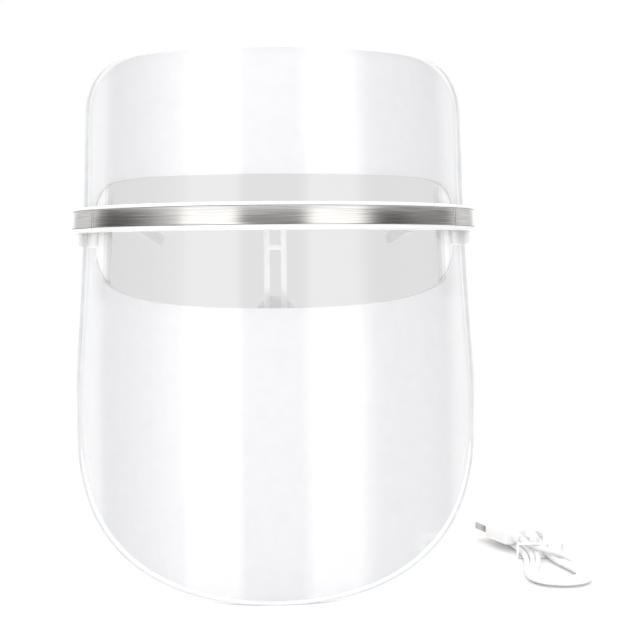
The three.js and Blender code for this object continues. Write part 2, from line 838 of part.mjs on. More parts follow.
function noseScrewPlaces() {
  const z = carrierTop / 2;
  return [[noseScrewSpacing / 2, z], [-noseScrewSpacing / 2, z]];
}

function noseScrewTip() {
  return carrierInner + carrierWall - 2 * gap;
}

/** The rails' frame: Z down-up along the rails, Y across them towards the face. */
function railFrame() {
  const top = onSheet(0, bracketInner, carrierBottom + 1);
  return new THREE.Matrix4().makeRotationX(THREE.MathUtils.degToRad(railTilt)).setPosition(top);
}

/** Length along the rails, negative downwards, of a height. */
function onRail(z) {
  return (z - carrierBottom - 1) / Math.cos(THREE.MathUtils.degToRad(railTilt));
}

function noseBracket() {
  const plate = bent(barProfile(bracketInner, bracketOuter, carrierBottom, carrierTop),
    -bracketHalf, bracketHalf, 4);
  const frame = railFrame();
  const rails = [1, -1].map((side) => {
    const x = (side * railSpacing) / 2;
    return boxIn(frame, [x - railWidth / 2, -railThickness / 2, onRail(railBottom)],
      [x + railWidth / 2, railThickness / 2, 2]);
  });
  const bar = boxIn(frame, [-railSpacing / 2, -railThickness / 2, onRail(crossbarHeight) - crossbarWidth / 2],
    [railSpacing / 2, railThickness / 2, onRail(crossbarHeight) + crossbarWidth / 2]);
  const holes = noseScrewPlaces().map(([s, z]) => (
    rodOutwards(s, z, bracketInner - 2, bracketOuter + 1, screwRadius + gap)
  ));
  return combine([plate, ...rails, bar], holes);
}

function noseScrew(s) {
  return screw(s, carrierTop / 2, bracketInner - gap, noseScrewTip());
}

function noseCarrier() {
  const frame = railFrame();
  const middle = onRail(noseCarrierMiddle);
  const [halfWidth, halfHeight] = [noseCarrierWidth / 2, noseCarrierHeight / 2];
  const half = noseCarrierThickness / 2;
  const body = boxIn(frame, [-halfWidth, -half, middle - halfHeight], [halfWidth, half, middle + halfHeight]);
  const post = boxIn(frame, [-3, half - 0.2, middle - 2], [3, half + 2.4, middle + 2]);
  const slots = [1, -1].map((side) => {
    const x = (side * railSpacing) / 2;
    return boxIn(frame,
      [x - railWidth / 2 - playOnRail, -railThickness / 2 - playOnRail, middle - halfHeight - 1],
      [x + railWidth / 2 + playOnRail, railThickness / 2 + playOnRail, middle + halfHeight + 1]);
  });
  return combine([body, post], slots);
}

/** A soft saddle over the nose, pushed onto the carrier's post. Its legs lean to the face. */
function noseSaddle() {
  const [top, bottom, crotch] = [onRail(saddleTop), onRail(saddleBottom), onRail(saddleCrotch)];
  const outline = new THREE.Shape();
  outline.moveTo(saddleHalf, bottom);
  outline.absellipse(0, bottom, saddleHalf, top - bottom, 0, Math.PI, false);
  outline.lineTo(-saddleLegGap, bottom);
  outline.absellipse(0, bottom, saddleLegGap, crotch - bottom, Math.PI, 0, true);
  const saddle = new THREE.ExtrudeGeometry(outline, {
    depth: saddleThickness - 2, curveSegments: 9, steps: 1,
    bevelEnabled: true, bevelThickness: 1, bevelSize: 1, bevelOffset: -1, bevelSegments: 2,
  });
  saddle.rotateX(Math.PI / 2).scale(1, -1, 1);
  const bare = placed(saddle);
  const { position } = bare.attributes;
  const front = noseCarrierThickness / 2 + gap;
  for (let i = 0; i < position.count; i++) {
    const lean = saddleLean * (position.getX(i) / saddleHalf) ** 2;
    position.setY(i, position.getY(i) + front + 1 + lean);
  }
  const post = boxIn(new THREE.Matrix4(), [-3 - gap, 0, onRail(noseCarrierMiddle) - 2 - gap],
    [3 + gap, noseCarrierThickness / 2 + 2.4 + gap, onRail(noseCarrierMiddle) + 2 + gap]);
  return combine([closedCopy(bare)], [post]).applyMatrix4(railFrame());
}

// ---- The charging lead ----

const hankFloor = tieWall + gap;
const hankTop = hankFloor + cordRadius * 2 + 0.1;
const tailHeight = hankTop + gap + cordRadius;
const hankEdge = hankStart + hankPitch * hankTurns + cordRadius;

/** A frame on the floor beside the mask, turned about its own upright axis. */
function leadFrame(x = 0, y = 0, z = 0, degrees = 0) {
  const turn = new THREE.Matrix4().makeRotationZ(THREE.MathUtils.degToRad(degrees));
  return new THREE.Matrix4().makeTranslation(leadX + x, leadY + y, sheetBottom + z).multiply(turn);
}

/** Points of a hank's line at some distance out from its first turn, between two angles. */
function hankLine(out, from, to, steps) {
  const points = [];
  for (let i = 0; i <= steps; i++) {
    const angle = THREE.MathUtils.degToRad(from + ((to - from) * i) / steps);
    const x = Math.cos(angle) * (out + hankBulge * Math.sin(angle) ** 2);
    points.push(new THREE.Vector2(x, Math.sin(angle) * (hankHalf + out)));
  }
  return points;
}

/** The turns of the wound cord, as one flat solid with its two loops open. */
function leadHank() {
  const outline = new THREE.Shape(hankLine(hankEdge, 0, 345, 46));
  const inside = hankStart - cordRadius;
  const foot = THREE.MathUtils.radToDeg(Math.asin(loopFoot / (hankHalf + inside)));
  outline.holes.push(new THREE.Path(hankLine(inside, foot, 180 - foot, 20)));
  outline.holes.push(new THREE.Path(hankLine(inside, 180 + foot, 360 - foot, 20)));
  const settings = { depth: hankTop - hankFloor, bevelEnabled: false };
  return placed(new THREE.ExtrudeGeometry(outline, settings), leadFrame(0, 0, hankFloor));
}

/** The band round the hank's middle, with the cord's outer end over the turns. */
function leadTie() {
  const [half, top] = [hankEdge + gap + 0.1, tailHeight + cordRadius + gap];
  const reach = half + tieWall;
  const frame = leadFrame();
  const block = boxIn(frame, [-reach, -tieLength / 2, 0], [reach, tieLength / 2, top + tieWall]);
  return combine([block], [boxIn(frame, [-half, -tieLength, tieWall], [half, tieLength, top])]);
}

/** The cord from the power plug down through the tie and over the turns. */
function leadTail() {
  const plugHeight = hankTop + gap + powerGripThickness / 2;
  const route = [
    [-8.7, 8.25, plugHeight], [-7, 6.1, plugHeight - 0.8], [-5, 3.9, tailHeight + 0.5],
    [-3, 1.4, tailHeight], [-0.3, -2.6, tailHeight], [3.2, -7.4, tailHeight],
    [7, -12.2, tailHeight],
  ].map((point) => new THREE.Vector3(...point));
  const section = new THREE.Shape().absarc(0, 0, cordRadius, 0, Math.PI * 2);
  const geometry = new THREE.ExtrudeGeometry(section, {
    extrudePath: new THREE.CatmullRomCurve3(route), steps: 12, curveSegments: 4,
  });
  return placed(geometry, leadFrame());
}

/** A ring round a plug's axis: a rectangle with round corners. */
function plugRing(frame, along, width, thickness, round) {
  const ring = [];
  [[1, 1], [-1, 1], [-1, -1], [1, -1]].forEach(([sideways, upwards], corner) => {
    for (let k = 0; k <= 3; k++) {
      const angle = ((corner + k / 3) * Math.PI) / 2;
      const x = sideways * (width / 2 - round) + round * Math.cos(angle);
      const z = upwards * (thickness / 2 - round) + round * Math.sin(angle);
      ring.push(new THREE.Vector3(x, along, z).applyMatrix4(frame));
    }
  });
  return ring;
}

/** A plug's moulded grip with its strain relief. */
function plugGrip(frame, reliefLength, reliefWidth, length, width, thickness) {
  const relief = (along, size) => plugRing(frame, along, size, size, size * 0.45);
  const grip = (along, inset) => plugRing(frame, along, width - inset, thickness - inset, 1.6);
  const end = reliefLength + length;
  return loft([
    relief(0, reliefWidth), relief(reliefLength, reliefWidth * 1.12),
    grip(reliefLength + 0.1, 1), grip(reliefLength + 0.6, 0), grip(end - 0.5, 0), grip(end, 0.8),
  ]);
}

/** A plug's steel shell, open at its tip. */
function plugShell(frame, start, length, width, thickness, mouthDepth) {
  const block = (from, to, inset) => loft([
    plugRing(frame, from, width - inset, thickness - inset, 0.5 - inset / 4),
    plugRing(frame, to, width - inset, thickness - inset, 0.5 - inset / 4),
  ]);
  const end = start + length;
  return combine([block(start, end, 0)], [block(end - mouthDepth, end + 1, shellWall * 2)]);
}

const powerFrame = leadFrame(
  ...powerPlugFoot, hankTop + gap + powerGripThickness / 2, plugLean);
const powerShellStart = powerReliefLength + powerGripLength + gap;
const deviceFrame = leadFrame(devicePlugX, loopFoot + gap, deviceGripThickness / 2);
const deviceShellStart = deviceReliefLength + deviceGripLength + gap;

/** The white tongue in the power plug's mouth, on the shell's lower side. */
function powerTongue() {
  const end = powerShellStart + powerShellLength;
  const half = powerShellWidth / 2 - shellWall - tonguePlay;
  const bottom = -powerShellThickness / 2 + shellWall + tonguePlay;
  return boxIn(
    powerFrame, [-half, end - powerMouthDepth + tonguePlay, bottom],
    [half, end - 0.4, bottom + powerTongueThickness]);
}

// ---- The assembly ----

const group = new THREE.Group();

function add(name, geometry, finish) {
  const mesh = new THREE.Mesh(geometry, finish.clone());
  mesh.name = name;
  mesh.geometry.computeVertexNormals();
  group.add(mesh);
}

/** Adds a piece made on the wearer's left, and its mirror image on the right. */
function addPair(name, geometry, finish) {
  add(`${name}_left`, geometry, finish);
  add(`${name}_right`, mirrored(geometry), finish);
}

add('shield', shield(), clearSheet);
add('forehead_film', foreheadFilm(), milkyFilm);
add('cheek_film', cheekFilm(), milkyFilm);
add('front_bar', frontBar(), glossWhite);
add('trim_strip', trimStrip(-barHalf + gap, barHalf - gap), brushedSteel);
addPair('trim_end', trimStrip(barHalf + gap, blockEnd - 1.6 - gap), brushedSteel);
add('lamp_carrier', lampCarrier(), mattWhite);
add('lamp_strip_upper', lampStrip(1), lampBoardWhite);
add('lamp_strip_lower', lampStrip(-1), lampBoardWhite);
add('control_board', controlBoard(), boardGreen);
addPair('battery_cell', cell((innerScrews[0] + innerScrews[1]) / 2), cellFoil);
for (const s of innerScrews) addPair(`clamp_screw_${s}`, clampScrew(s), screwSteel);
addPair('clamp_screw_end', clampScrew(endScrew), screwSteel);
addPair('side_plate', sidePlate(), glossWhite);
add('end_block_left', endBlock(true), glossWhite);
add('end_block_right', mirrored(endBlock(false)), glossWhite);
add('port_board', portBoard(), boardGreen);
add('usb_socket', usbSocket(), portSteel);
add('power_button', powerButton(), mattWhite);
addPair('hinge_pin', hingePin(), screwSteel);
addPair('temple', temple(), glossWhite);
addPair('temple_sleeve', templeSleeve(), silicone);
add('nose_bracket', noseBracket(), glossWhite);
addPair('nose_screw', noseScrew(noseScrewSpacing / 2), screwSteel);
add('nose_pad_carrier', noseCarrier(), glossWhite);
add('nose_pad', noseSaddle(), padSilicone);
add('lead_hank', leadHank(), cordWhite);
add('lead_tie', leadTie(), cordWhite);
add('lead_tail', leadTail(), cordWhite);
add('power_plug_grip', plugGrip(
  powerFrame, powerReliefLength, powerReliefWidth, powerGripLength, powerGripWidth,
  powerGripThickness), glossWhite);
add('power_plug_shell', plugShell(
  powerFrame, powerShellStart, powerShellLength, powerShellWidth, powerShellThickness,
  powerMouthDepth), portSteel);
add('power_plug_tongue', powerTongue(), glossWhite);
add('device_plug_grip', plugGrip(
  deviceFrame, deviceReliefLength, deviceReliefWidth, deviceGripLength, deviceGripWidth,
  deviceGripThickness), glossWhite);
add('device_plug_shell', plugShell(
  deviceFrame, deviceShellStart, deviceShellLength, deviceShellWidth, deviceShellThickness,
  deviceMouthDepth), portSteel);

export default group;
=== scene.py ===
"""A wearable LED light-therapy face mask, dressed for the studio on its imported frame.

A clear sheet hangs before the whole face from a steel-trimmed brow bar with spectacle temples.
Lengths are millimetres until a point is made; points and meshes are in metres, in the frame's
own axes: +Z up as worn, the front towards -Y, +X towards the wearer's left.
"""
import logging
import math
from dataclasses import dataclass, field
from enum import Enum
from typing import Callable, Sequence

import bmesh
import bpy
from mathutils import Matrix, Vector


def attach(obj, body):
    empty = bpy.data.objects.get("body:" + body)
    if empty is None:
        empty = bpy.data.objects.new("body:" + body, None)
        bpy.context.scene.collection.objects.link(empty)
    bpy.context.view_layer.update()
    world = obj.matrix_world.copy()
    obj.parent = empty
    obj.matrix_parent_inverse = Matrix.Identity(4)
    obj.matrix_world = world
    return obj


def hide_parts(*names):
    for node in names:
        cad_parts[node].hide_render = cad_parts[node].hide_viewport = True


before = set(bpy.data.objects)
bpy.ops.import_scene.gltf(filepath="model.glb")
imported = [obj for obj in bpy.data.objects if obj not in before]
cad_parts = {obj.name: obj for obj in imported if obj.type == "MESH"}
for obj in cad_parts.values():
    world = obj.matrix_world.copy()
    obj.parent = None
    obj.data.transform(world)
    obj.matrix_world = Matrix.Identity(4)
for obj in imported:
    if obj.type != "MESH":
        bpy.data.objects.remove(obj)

log = logging.getLogger("face_mask")
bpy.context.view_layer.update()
MM = 0.001
Point = tuple[float, float, float]
Outline = Sequence[tuple[float, float]]
Mesh = tuple[list[Sequence[float]], list[list[int]]]  # points and faces


# ---- Small tools ----


def linear(hex_colour: str) -> tuple[float, float, float, float]:
    """Turns an sRGB hex colour to the linear one that shaders take.

    Args:
        hex_colour: such as "#f4f4f2".

    Returns:
        Red, green, blue and a full alpha.
    """
    parts = [int(hex_colour[i:i + 2], 16) / 255 for i in (1, 3, 5)]
    made = [c / 12.92 if c <= 0.04045 else ((c + 0.055) / 1.055) ** 2.4 for c in parts]
    return (made[0], made[1], made[2], 1.0)


def add_node(
    tree: bpy.types.NodeTree,
    kind: str,
    inputs: dict[str | int, object] | None = None,
    **settings: object,
) -> bpy.types.Node:
    """Adds a node, with its settings, and its inputs' values or links.

    Args:
        tree: the tree that gets the node.
        kind: the node's Blender type.
        inputs: for each socket's name or index, a value or another node's output.
        **settings: the node's own attributes.

    Returns:
        The new node.
    """
    node = tree.nodes.new(kind)
    for name, value in settings.items():
        setattr(node, name, value)
    for name, value in (inputs or {}).items():
        if isinstance(value, bpy.types.NodeSocket):
            tree.links.new(value, node.inputs[name])
        else:
            node.inputs[name].default_value = value
    return node


def calculate(
    tree: bpy.types.NodeTree, operation: str, *terms: object
) -> bpy.types.NodeSocket:
    """Adds a Math node.

    Args:
        tree: the tree that gets the node.
        operation: what it works out.
        *terms: a number or another node's output for each of its inputs.

    Returns:
        The result.
    """
    inputs = dict(enumerate(terms))
    return add_node(tree, "ShaderNodeMath", inputs, operation=operation).outputs[0]


def mixed_colour(
    tree: bpy.types.NodeTree, share: bpy.types.NodeSocket, low: str, high: str
) -> bpy.types.NodeSocket:
    """Adds a Mix node between two sRGB hex colours.

    Args:
        tree: the tree that gets the node.
        share: how much of the second colour shows.
        low: the first colour.
        high: the second colour.

    Returns:
        The mixed colour.
    """
    inputs = {0: share, 6: linear(low), 7: linear(high)}
    return add_node(tree, "ShaderNodeMix", inputs, data_type="RGBA").outputs[2]


def new_object(
    name: str,
    points: Sequence[Sequence[float]],
    faces: Sequence[Sequence[int]],
    materials: Sequence[bpy.types.Material] = (),
    smooth: bool = True,
) -> bpy.types.Object:
    """Makes a mesh object at the origin, with its faces turned outwards.

    Args:
        name: the piece's name.
        points: in metres.
        faces: each a loop of point numbers.
        materials: the object's materials, in order.
        smooth: whether its faces are shaded smooth.

    Returns:
        The new object, in the scene.
    """
    mesh = bpy.data.meshes.new(name)
    mesh.from_pydata([tuple(p) for p in points], [], [tuple(f) for f in faces])
    tidy_mesh(mesh)
    obj = bpy.data.objects.new(name, mesh)
    bpy.context.scene.collection.objects.link(obj)
    for material in materials:
        mesh.materials.append(material)
    for face in mesh.polygons:
        face.use_smooth = smooth
    return obj


def tidy_mesh(mesh: bpy.types.Mesh, flatten: bool = False) -> None:
    """Merges a mesh's doubles and turns its faces outwards.

    Args:
        mesh: the mesh, changed in place.
        flatten: whether flat groups of triangles become one face each.
    """
    work = bmesh.new()
    work.from_mesh(mesh)
    bmesh.ops.remove_doubles(work, verts=work.verts, dist=2e-6)
    if flatten:
        bmesh.ops.dissolve_limit(
            work, angle_limit=math.radians(0.6), verts=work.verts, edges=work.edges)
    bmesh.ops.recalc_face_normals(work, faces=work.faces)
    work.to_mesh(mesh)
    work.free()


def soften(obj: bpy.types.Object, width: float, segments: int = 2, angle: float = 35) -> None:
    """Rounds an object's sharp edges, as a mould does.

    Args:
        obj: the object.
        width: of the round, in millimetres.
        segments: faces across the round.
        angle: edges sharper than this many degrees are rounded.
    """
    bevel = obj.modifiers.new("edge_round", "BEVEL")
    bevel.width = width * MM
    bevel.segments = segments
    bevel.limit_method = "ANGLE"
    bevel.angle_limit = math.radians(angle)
    bevel.harden_normals = True
    bevel.use_clamp_overlap = True


def evaluated_mesh(obj: bpy.types.Object) -> bpy.types.Mesh:
    """Returns a plain copy of an object's mesh with its modifiers applied."""
    graph = bpy.context.evaluated_depsgraph_get()
    return bpy.data.meshes.new_from_object(obj.evaluated_get(graph), depsgraph=graph)


def apply_modifiers(obj: bpy.types.Object) -> None:
    """Makes an object's modifiers part of its mesh."""
    obj.data = evaluated_mesh(obj)
    obj.modifiers.clear()


def discard(obj: bpy.types.Object) -> None:
    """Removes a helper object from the file."""
    bpy.data.objects.remove(obj, do_unlink=True)


def combine(obj: bpy.types.Object, tool: bpy.types.Object, operation: str) -> None:
    """Joins a helper object to a piece, or cuts it away, and discards it.

    Args:
        obj: the piece, changed in place.
        tool: the helper object.
        operation: UNION or DIFFERENCE.
    """
    change = obj.modifiers.new("change", "BOOLEAN")
    change.operation, change.object, change.solver = operation, tool, "EXACT"
    apply_modifiers(obj)
    discard(tool)


def settle(
    obj: bpy.types.Object, body: str, replaced: Sequence[str] = ()
) -> bpy.types.Object:
    """Puts a finished piece on its body and hides the CAD nodes it stands for.

    Args:
        obj: the piece.
        body: the body it rides on.
        replaced: the CAD nodes it stands for.

    Returns:
        The piece.
    """
    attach(obj, body)
    if replaced:
        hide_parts(*replaced)
    log.info("%s: %d faces on %s", obj.name, len(obj.data.polygons), body)
    return obj


# ---- Finishes ----


class Finish:
    """A material made once and shared by every piece that has it."""

    name: str

    def build(self) -> bpy.types.Material:
        """Returns the finish's material, made on first use."""
        made = bpy.data.materials.get(self.name)
        if made is None:
            made = bpy.data.materials.new(self.name)
            made.use_nodes = True
            made.node_tree.nodes.clear()
            self.draw(made.node_tree)
        return made

    def draw(self, tree: bpy.types.NodeTree) -> None:
        """Fills the material's tree."""
        raise NotImplementedError

    @staticmethod
    def surface(tree: bpy.types.NodeTree, shader: bpy.types.NodeSocket) -> None:
        """Links a shader to the tree's output."""
        add_node(tree, "ShaderNodeOutputMaterial", {"Surface": shader})

    @staticmethod
    def grain(tree: bpy.types.NodeTree, size: float, detail: float = 2) -> bpy.types.NodeSocket:
        """Noise on the piece's own coordinates.

        Args:
            tree: the material's tree.
            size: one grain's width in millimetres.
            detail: the noise's octaves.

        Returns:
            The noise's value.
        """
        place = add_node(tree, "ShaderNodeTexCoord")
        noise = add_node(tree, "ShaderNodeTexNoise", {
            "Vector": place.outputs["Object"], "Scale": 1 / (size * MM), "Detail": detail})
        return noise.outputs["Fac"]

    @staticmethod
    def spread(
        tree: bpy.types.NodeTree, value: bpy.types.NodeSocket, low: float, high: float
    ) -> bpy.types.NodeSocket:
        """Maps a noise's middle half to low and high."""
        mapped = add_node(tree, "ShaderNodeMapRange", {
            "Value": value, "From Min": 0.25, "From Max": 0.75, "To Min": low, "To Max": high})
        return mapped.outputs["Result"]

    @staticmethod
    def relief(
        tree: bpy.types.NodeTree, height: bpy.types.NodeSocket, depth: float, strength: float
    ) -> bpy.types.NodeSocket:
        """A bump of a depth in millimetres."""
        bump = add_node(tree, "ShaderNodeBump", {
            "Height": height, "Distance": depth * MM, "Strength": strength})
        return bump.outputs["Normal"]


@dataclass(frozen=True)
class MouldedPlastic(Finish):
    """Injection-moulded plastic: the mould's texture shows as a faint, even grain."""

    name: str
    colour: str
    shade: str  # the colour in the grain's hollows
    roughness: tuple[float, float]
    grain_size: float  # of the mould's texture, mm
    grain_depth: float
    ior: float = 1.53  # ABS
    coat: float = 0.0
    subsurface: float = 0.0
    light_depth: float = 2.0  # how far light wanders inside, mm
    haze: float = 0.0  # how much a frosted face brightens at a glance

    def draw(self, tree: bpy.types.NodeTree) -> None:
        """Fills the material's tree."""
        fine = self.grain(tree, self.grain_size)
        broad = self.spread(tree, self.grain(tree, self.grain_size * 30, detail=1), 0, 1)
        shader = add_node(tree, "ShaderNodeBsdfPrincipled", {
            "Base Color": mixed_colour(tree, broad, self.shade, self.colour),
            "Roughness": self.spread(tree, fine, *self.roughness),
            "IOR": self.ior,
            "Coat Weight": self.coat,
            "Coat Roughness": 0.06,
            "Subsurface Weight": self.subsurface,
            "Subsurface Radius": (1.0, 1.0, 1.0),
            "Subsurface Scale": self.light_depth * MM,
            "Sheen Weight": self.haze,
            "Sheen Roughness": 0.4,
            "Normal": self.relief(tree, fine, self.grain_depth, 0.35),
        })
        self.surface(tree, shader.outputs["BSDF"])


@dataclass(frozen=True)
class ClearPolycarbonate(Finish):
    """Extruded clear polycarbonate sheet: polished faces that mirror the lamps a little.

    It is thin and flat enough to show what is behind it unbent, so it lets light straight
    through and only mirrors more at a glance. In the eye window it lets through a greyed share
    of the light, where the mesh's window attribute, the millimetres inside its edge, is over zero.
    """

    name: str
    tint: str
    mirror: float  # share of the light mirrored head on
    roughness: float = 0.03
    tint_edge: float = 0.2  # how softly the tint begins, mm

    def draw(self, tree: bpy.types.NodeTree) -> None:
        """Fills the material's tree."""
        inside = add_node(tree, "ShaderNodeAttribute", attribute_name="window")
        coated = add_node(tree, "ShaderNodeMapRange", {
            "Value": inside.outputs["Fac"], "From Min": -self.tint_edge,
            "From Max": self.tint_edge})
        tone = mixed_colour(tree, coated.outputs["Result"], "#ffffff", self.tint)
        glance = add_node(tree, "ShaderNodeLayerWeight", {"Blend": 0.5})
        steep = calculate(tree, "POWER", glance.outputs["Facing"], 5.0)  # as Schlick has it
        mirrored = calculate(tree, "MULTIPLY_ADD", steep, 1 - self.mirror, self.mirror)
        through = add_node(tree, "ShaderNodeBsdfTransparent", {"Color": tone})
        gloss = add_node(tree, "ShaderNodeBsdfAnisotropic", {
            "Color": (1, 1, 1, 1), "Roughness": self.roughness})
        both = add_node(tree, "ShaderNodeMixShader", {
            0: mirrored, 1: through.outputs[0], 2: gloss.outputs[0]})
        self.surface(tree, both.outputs[0])


@dataclass(frozen=True)
class BrushedSteel(Finish):
    """Stainless strip brushed along its length: crisp bands of light, finely streaked.

    The piece's UV map holds metres, U up the strip and V along it.
    """

    name: str
    colour: str
    dark: str
    streak_width: float = 0.35  # drawn coarser than the real 0.05 mm so that it shows
    streak_length: float = 28.0
    roughness: tuple[float, float] = (0.16, 0.28)
    anisotropy: float = 0.8

    def draw(self, tree: bpy.types.NodeTree) -> None:
        """Fills the material's tree."""
        place = add_node(tree, "ShaderNodeUVMap", uv_map="strip")
        scale = (1 / (self.streak_width * MM), 1 / (self.streak_length * MM), 1)
        mapping = add_node(tree, "ShaderNodeMapping", {
            "Vector": place.outputs["UV"], "Scale": scale})
        streaks = add_node(tree, "ShaderNodeTexNoise", {
            "Vector": mapping.outputs["Vector"], "Scale": 1.0, "Detail": 3.0})
        value = streaks.outputs["Fac"]
        tone = mixed_colour(tree, self.spread(tree, value, 0, 1), self.dark, self.colour)
        along = add_node(tree, "ShaderNodeTangent", direction_type="UV_MAP", uv_map="strip")
        shader = add_node(tree, "ShaderNodeBsdfPrincipled", {
            "Base Color": tone,
            "Metallic": 1.0,
            "Roughness": self.spread(tree, value, *self.roughness),
            "Anisotropic": self.anisotropy,
            "Tangent": along.outputs["Tangent"],
            "Normal": self.relief(tree, value, 0.01, 0.15),
        })
        self.surface(tree, shader.outputs["BSDF"])


@dataclass(frozen=True)
class PlatedMetal(Finish):
    """Nickel-plated or tinned steel, turned or stamped: grey, with faint handling marks."""

    name: str
    colour: str
    roughness: tuple[float, float]

    def draw(self, tree: bpy.types.NodeTree) -> None:
        """Fills the material's tree."""
        marks = self.grain(tree, 0.4, detail=3)
        shader = add_node(tree, "ShaderNodeBsdfPrincipled", {
            "Base Color": linear(self.colour),
            "Metallic": 1.0,
            "Roughness": self.spread(tree, marks, *self.roughness),
            "Normal": self.relief(tree, marks, 0.01, 0.2),
        })
        self.surface(tree, shader.outputs["BSDF"])


@dataclass(frozen=True)
class Silicone(Finish):
    """Moulded silicone rubber: milky, soft-lit, a little light passes into it."""

    name: str
    colour: str
    shade: str
    roughness: float = 0.48
    clear: float = 0.0  # share of the light that it lets straight through

    def draw(self, tree: bpy.types.NodeTree) -> None:
        """Fills the material's tree."""
        fine = self.grain(tree, 0.5)
        broad = self.spread(tree, self.grain(tree, 9, detail=1), 0, 1)
        shader = add_node(tree, "ShaderNodeBsdfPrincipled", {
            "Base Color": mixed_colour(tree, broad, self.shade, self.colour),
            "Roughness": self.spread(tree, fine, self.roughness - 0.06, self.roughness + 0.06),
            "IOR": 1.41,  # silicone
            "Subsurface Weight": 0.35,
            "Subsurface Radius": (1.0, 1.0, 1.0),
            "Subsurface Scale": 2 * MM,
            "Normal": self.relief(tree, fine, 0.03, 0.2),
        })
        through = add_node(tree, "ShaderNodeBsdfTransparent")
        mixed = add_node(tree, "ShaderNodeMixShader", {
            0: self.clear, 1: shader.outputs["BSDF"], 2: through.outputs[0]})
        self.surface(tree, mixed.outputs[0])


@dataclass(frozen=True)
class CircuitBoard(Finish):
    """Glass-fibre board under solder mask: the weave and the tracks show through the lacquer."""

    name: str
    colour: str
    track: str

    def draw(self, tree: bpy.types.NodeTree) -> None:
        """Fills the material's tree."""
        place = add_node(tree, "ShaderNodeTexCoord")
        tracks = add_node(tree, "ShaderNodeTexBrick", {
            "Vector": place.outputs["Object"], "Scale": 1 / (2.4 * MM), "Mortar Size": 0.12,
            "Color1": linear(self.colour), "Color2": linear(self.colour),
            "Mortar": linear(self.track)})
        weave = self.grain(tree, 0.3)
        shader = add_node(tree, "ShaderNodeBsdfPrincipled", {
            "Base Color": tracks.outputs["Color"],
            "Roughness": self.spread(tree, weave, 0.3, 0.42),
            "Normal": self.relief(tree, tracks.outputs["Fac"], 0.03, 0.4),
        })
        self.surface(tree, shader.outputs["BSDF"])


CLEAR_SHEET = ClearPolycarbonate("clear polycarbonate, polished", "#f1f1f1", 0.03)
SHEET_EDGE = MouldedPlastic(
    "clear polycarbonate, milled edge", "#e3e6e8", "#d6dadd", (0.12, 0.2), 0.3, 0.01, ior=1.585)
MILKY_FILM = MouldedPlastic(
    "light-spreading film", "#dfdfe1", "#dcdcde", (0.3, 0.4), 0.2, 0.005,
    subsurface=0.6, haze=0.4)
GLOSS_WHITE = MouldedPlastic(
    "glossy white ABS", "#efefee", "#ebebea", (0.16, 0.24), 0.5, 0.01, coat=0.25)
MATT_WHITE = MouldedPlastic(
    "spark-textured white ABS", "#eaeae9", "#e4e4e3", (0.42, 0.56), 0.25, 0.04)
WHITE_NYLON = MouldedPlastic(
    "white nylon", "#fcfcfb", "#f9f9f8", (0.34, 0.44), 0.3, 0.02,
    subsurface=1.0, light_depth=9.0)
TRIM_STEEL = BrushedSteel("brushed stainless strip", "#d8d6d4", "#a3a09e")
SCREW_STEEL = PlatedMetal("nickel-plated steel", "#b3b3b1", (0.22, 0.38))
# Tinned steel: the warm cast of its colour is a painted reflection of something warm nearby, not
# the metal's own tone
WARM_REFLECTION_STEEL = PlatedMetal("tinned sheet steel with painted warm reflection", "#d3cdc8", (0.25, 0.4))
CELL_FOIL = PlatedMetal("aluminium pouch foil", "#c9cbcd", (0.35, 0.5))
SLEEVE_SILICONE = Silicone("white silicone", "#f3f3f2", "#ebebea")
PAD_SILICONE = Silicone("clear grey silicone", "#f3f4f5", "#eaecee", clear=0.6)
CORD_PVC = Silicone("white PVC cord sheath", "#f0f0ef", "#e8e8e7", 0.4)
GREEN_BOARD = CircuitBoard("green glass-fibre board", "#1f5a38", "#3f8a5a")
WHITE_BOARD = CircuitBoard("white-lacquered lamp board", "#eeeee8", "#dcdcd2")
LAMP_PACKAGE = MouldedPlastic(
    "white lamp package", "#f4f4ee", "#ecece4", (0.35, 0.45), 0.1, 0.005)
LAMP_PHOSPHOR = Silicone("amber lamp silicone", "#f0c23a", "#e3a21e", 0.25)


# ---- The sheet's form ----


class End(Enum):
    """The two ends of an upright line on the sheet."""

    TOP = 1
    BOTTOM = -1


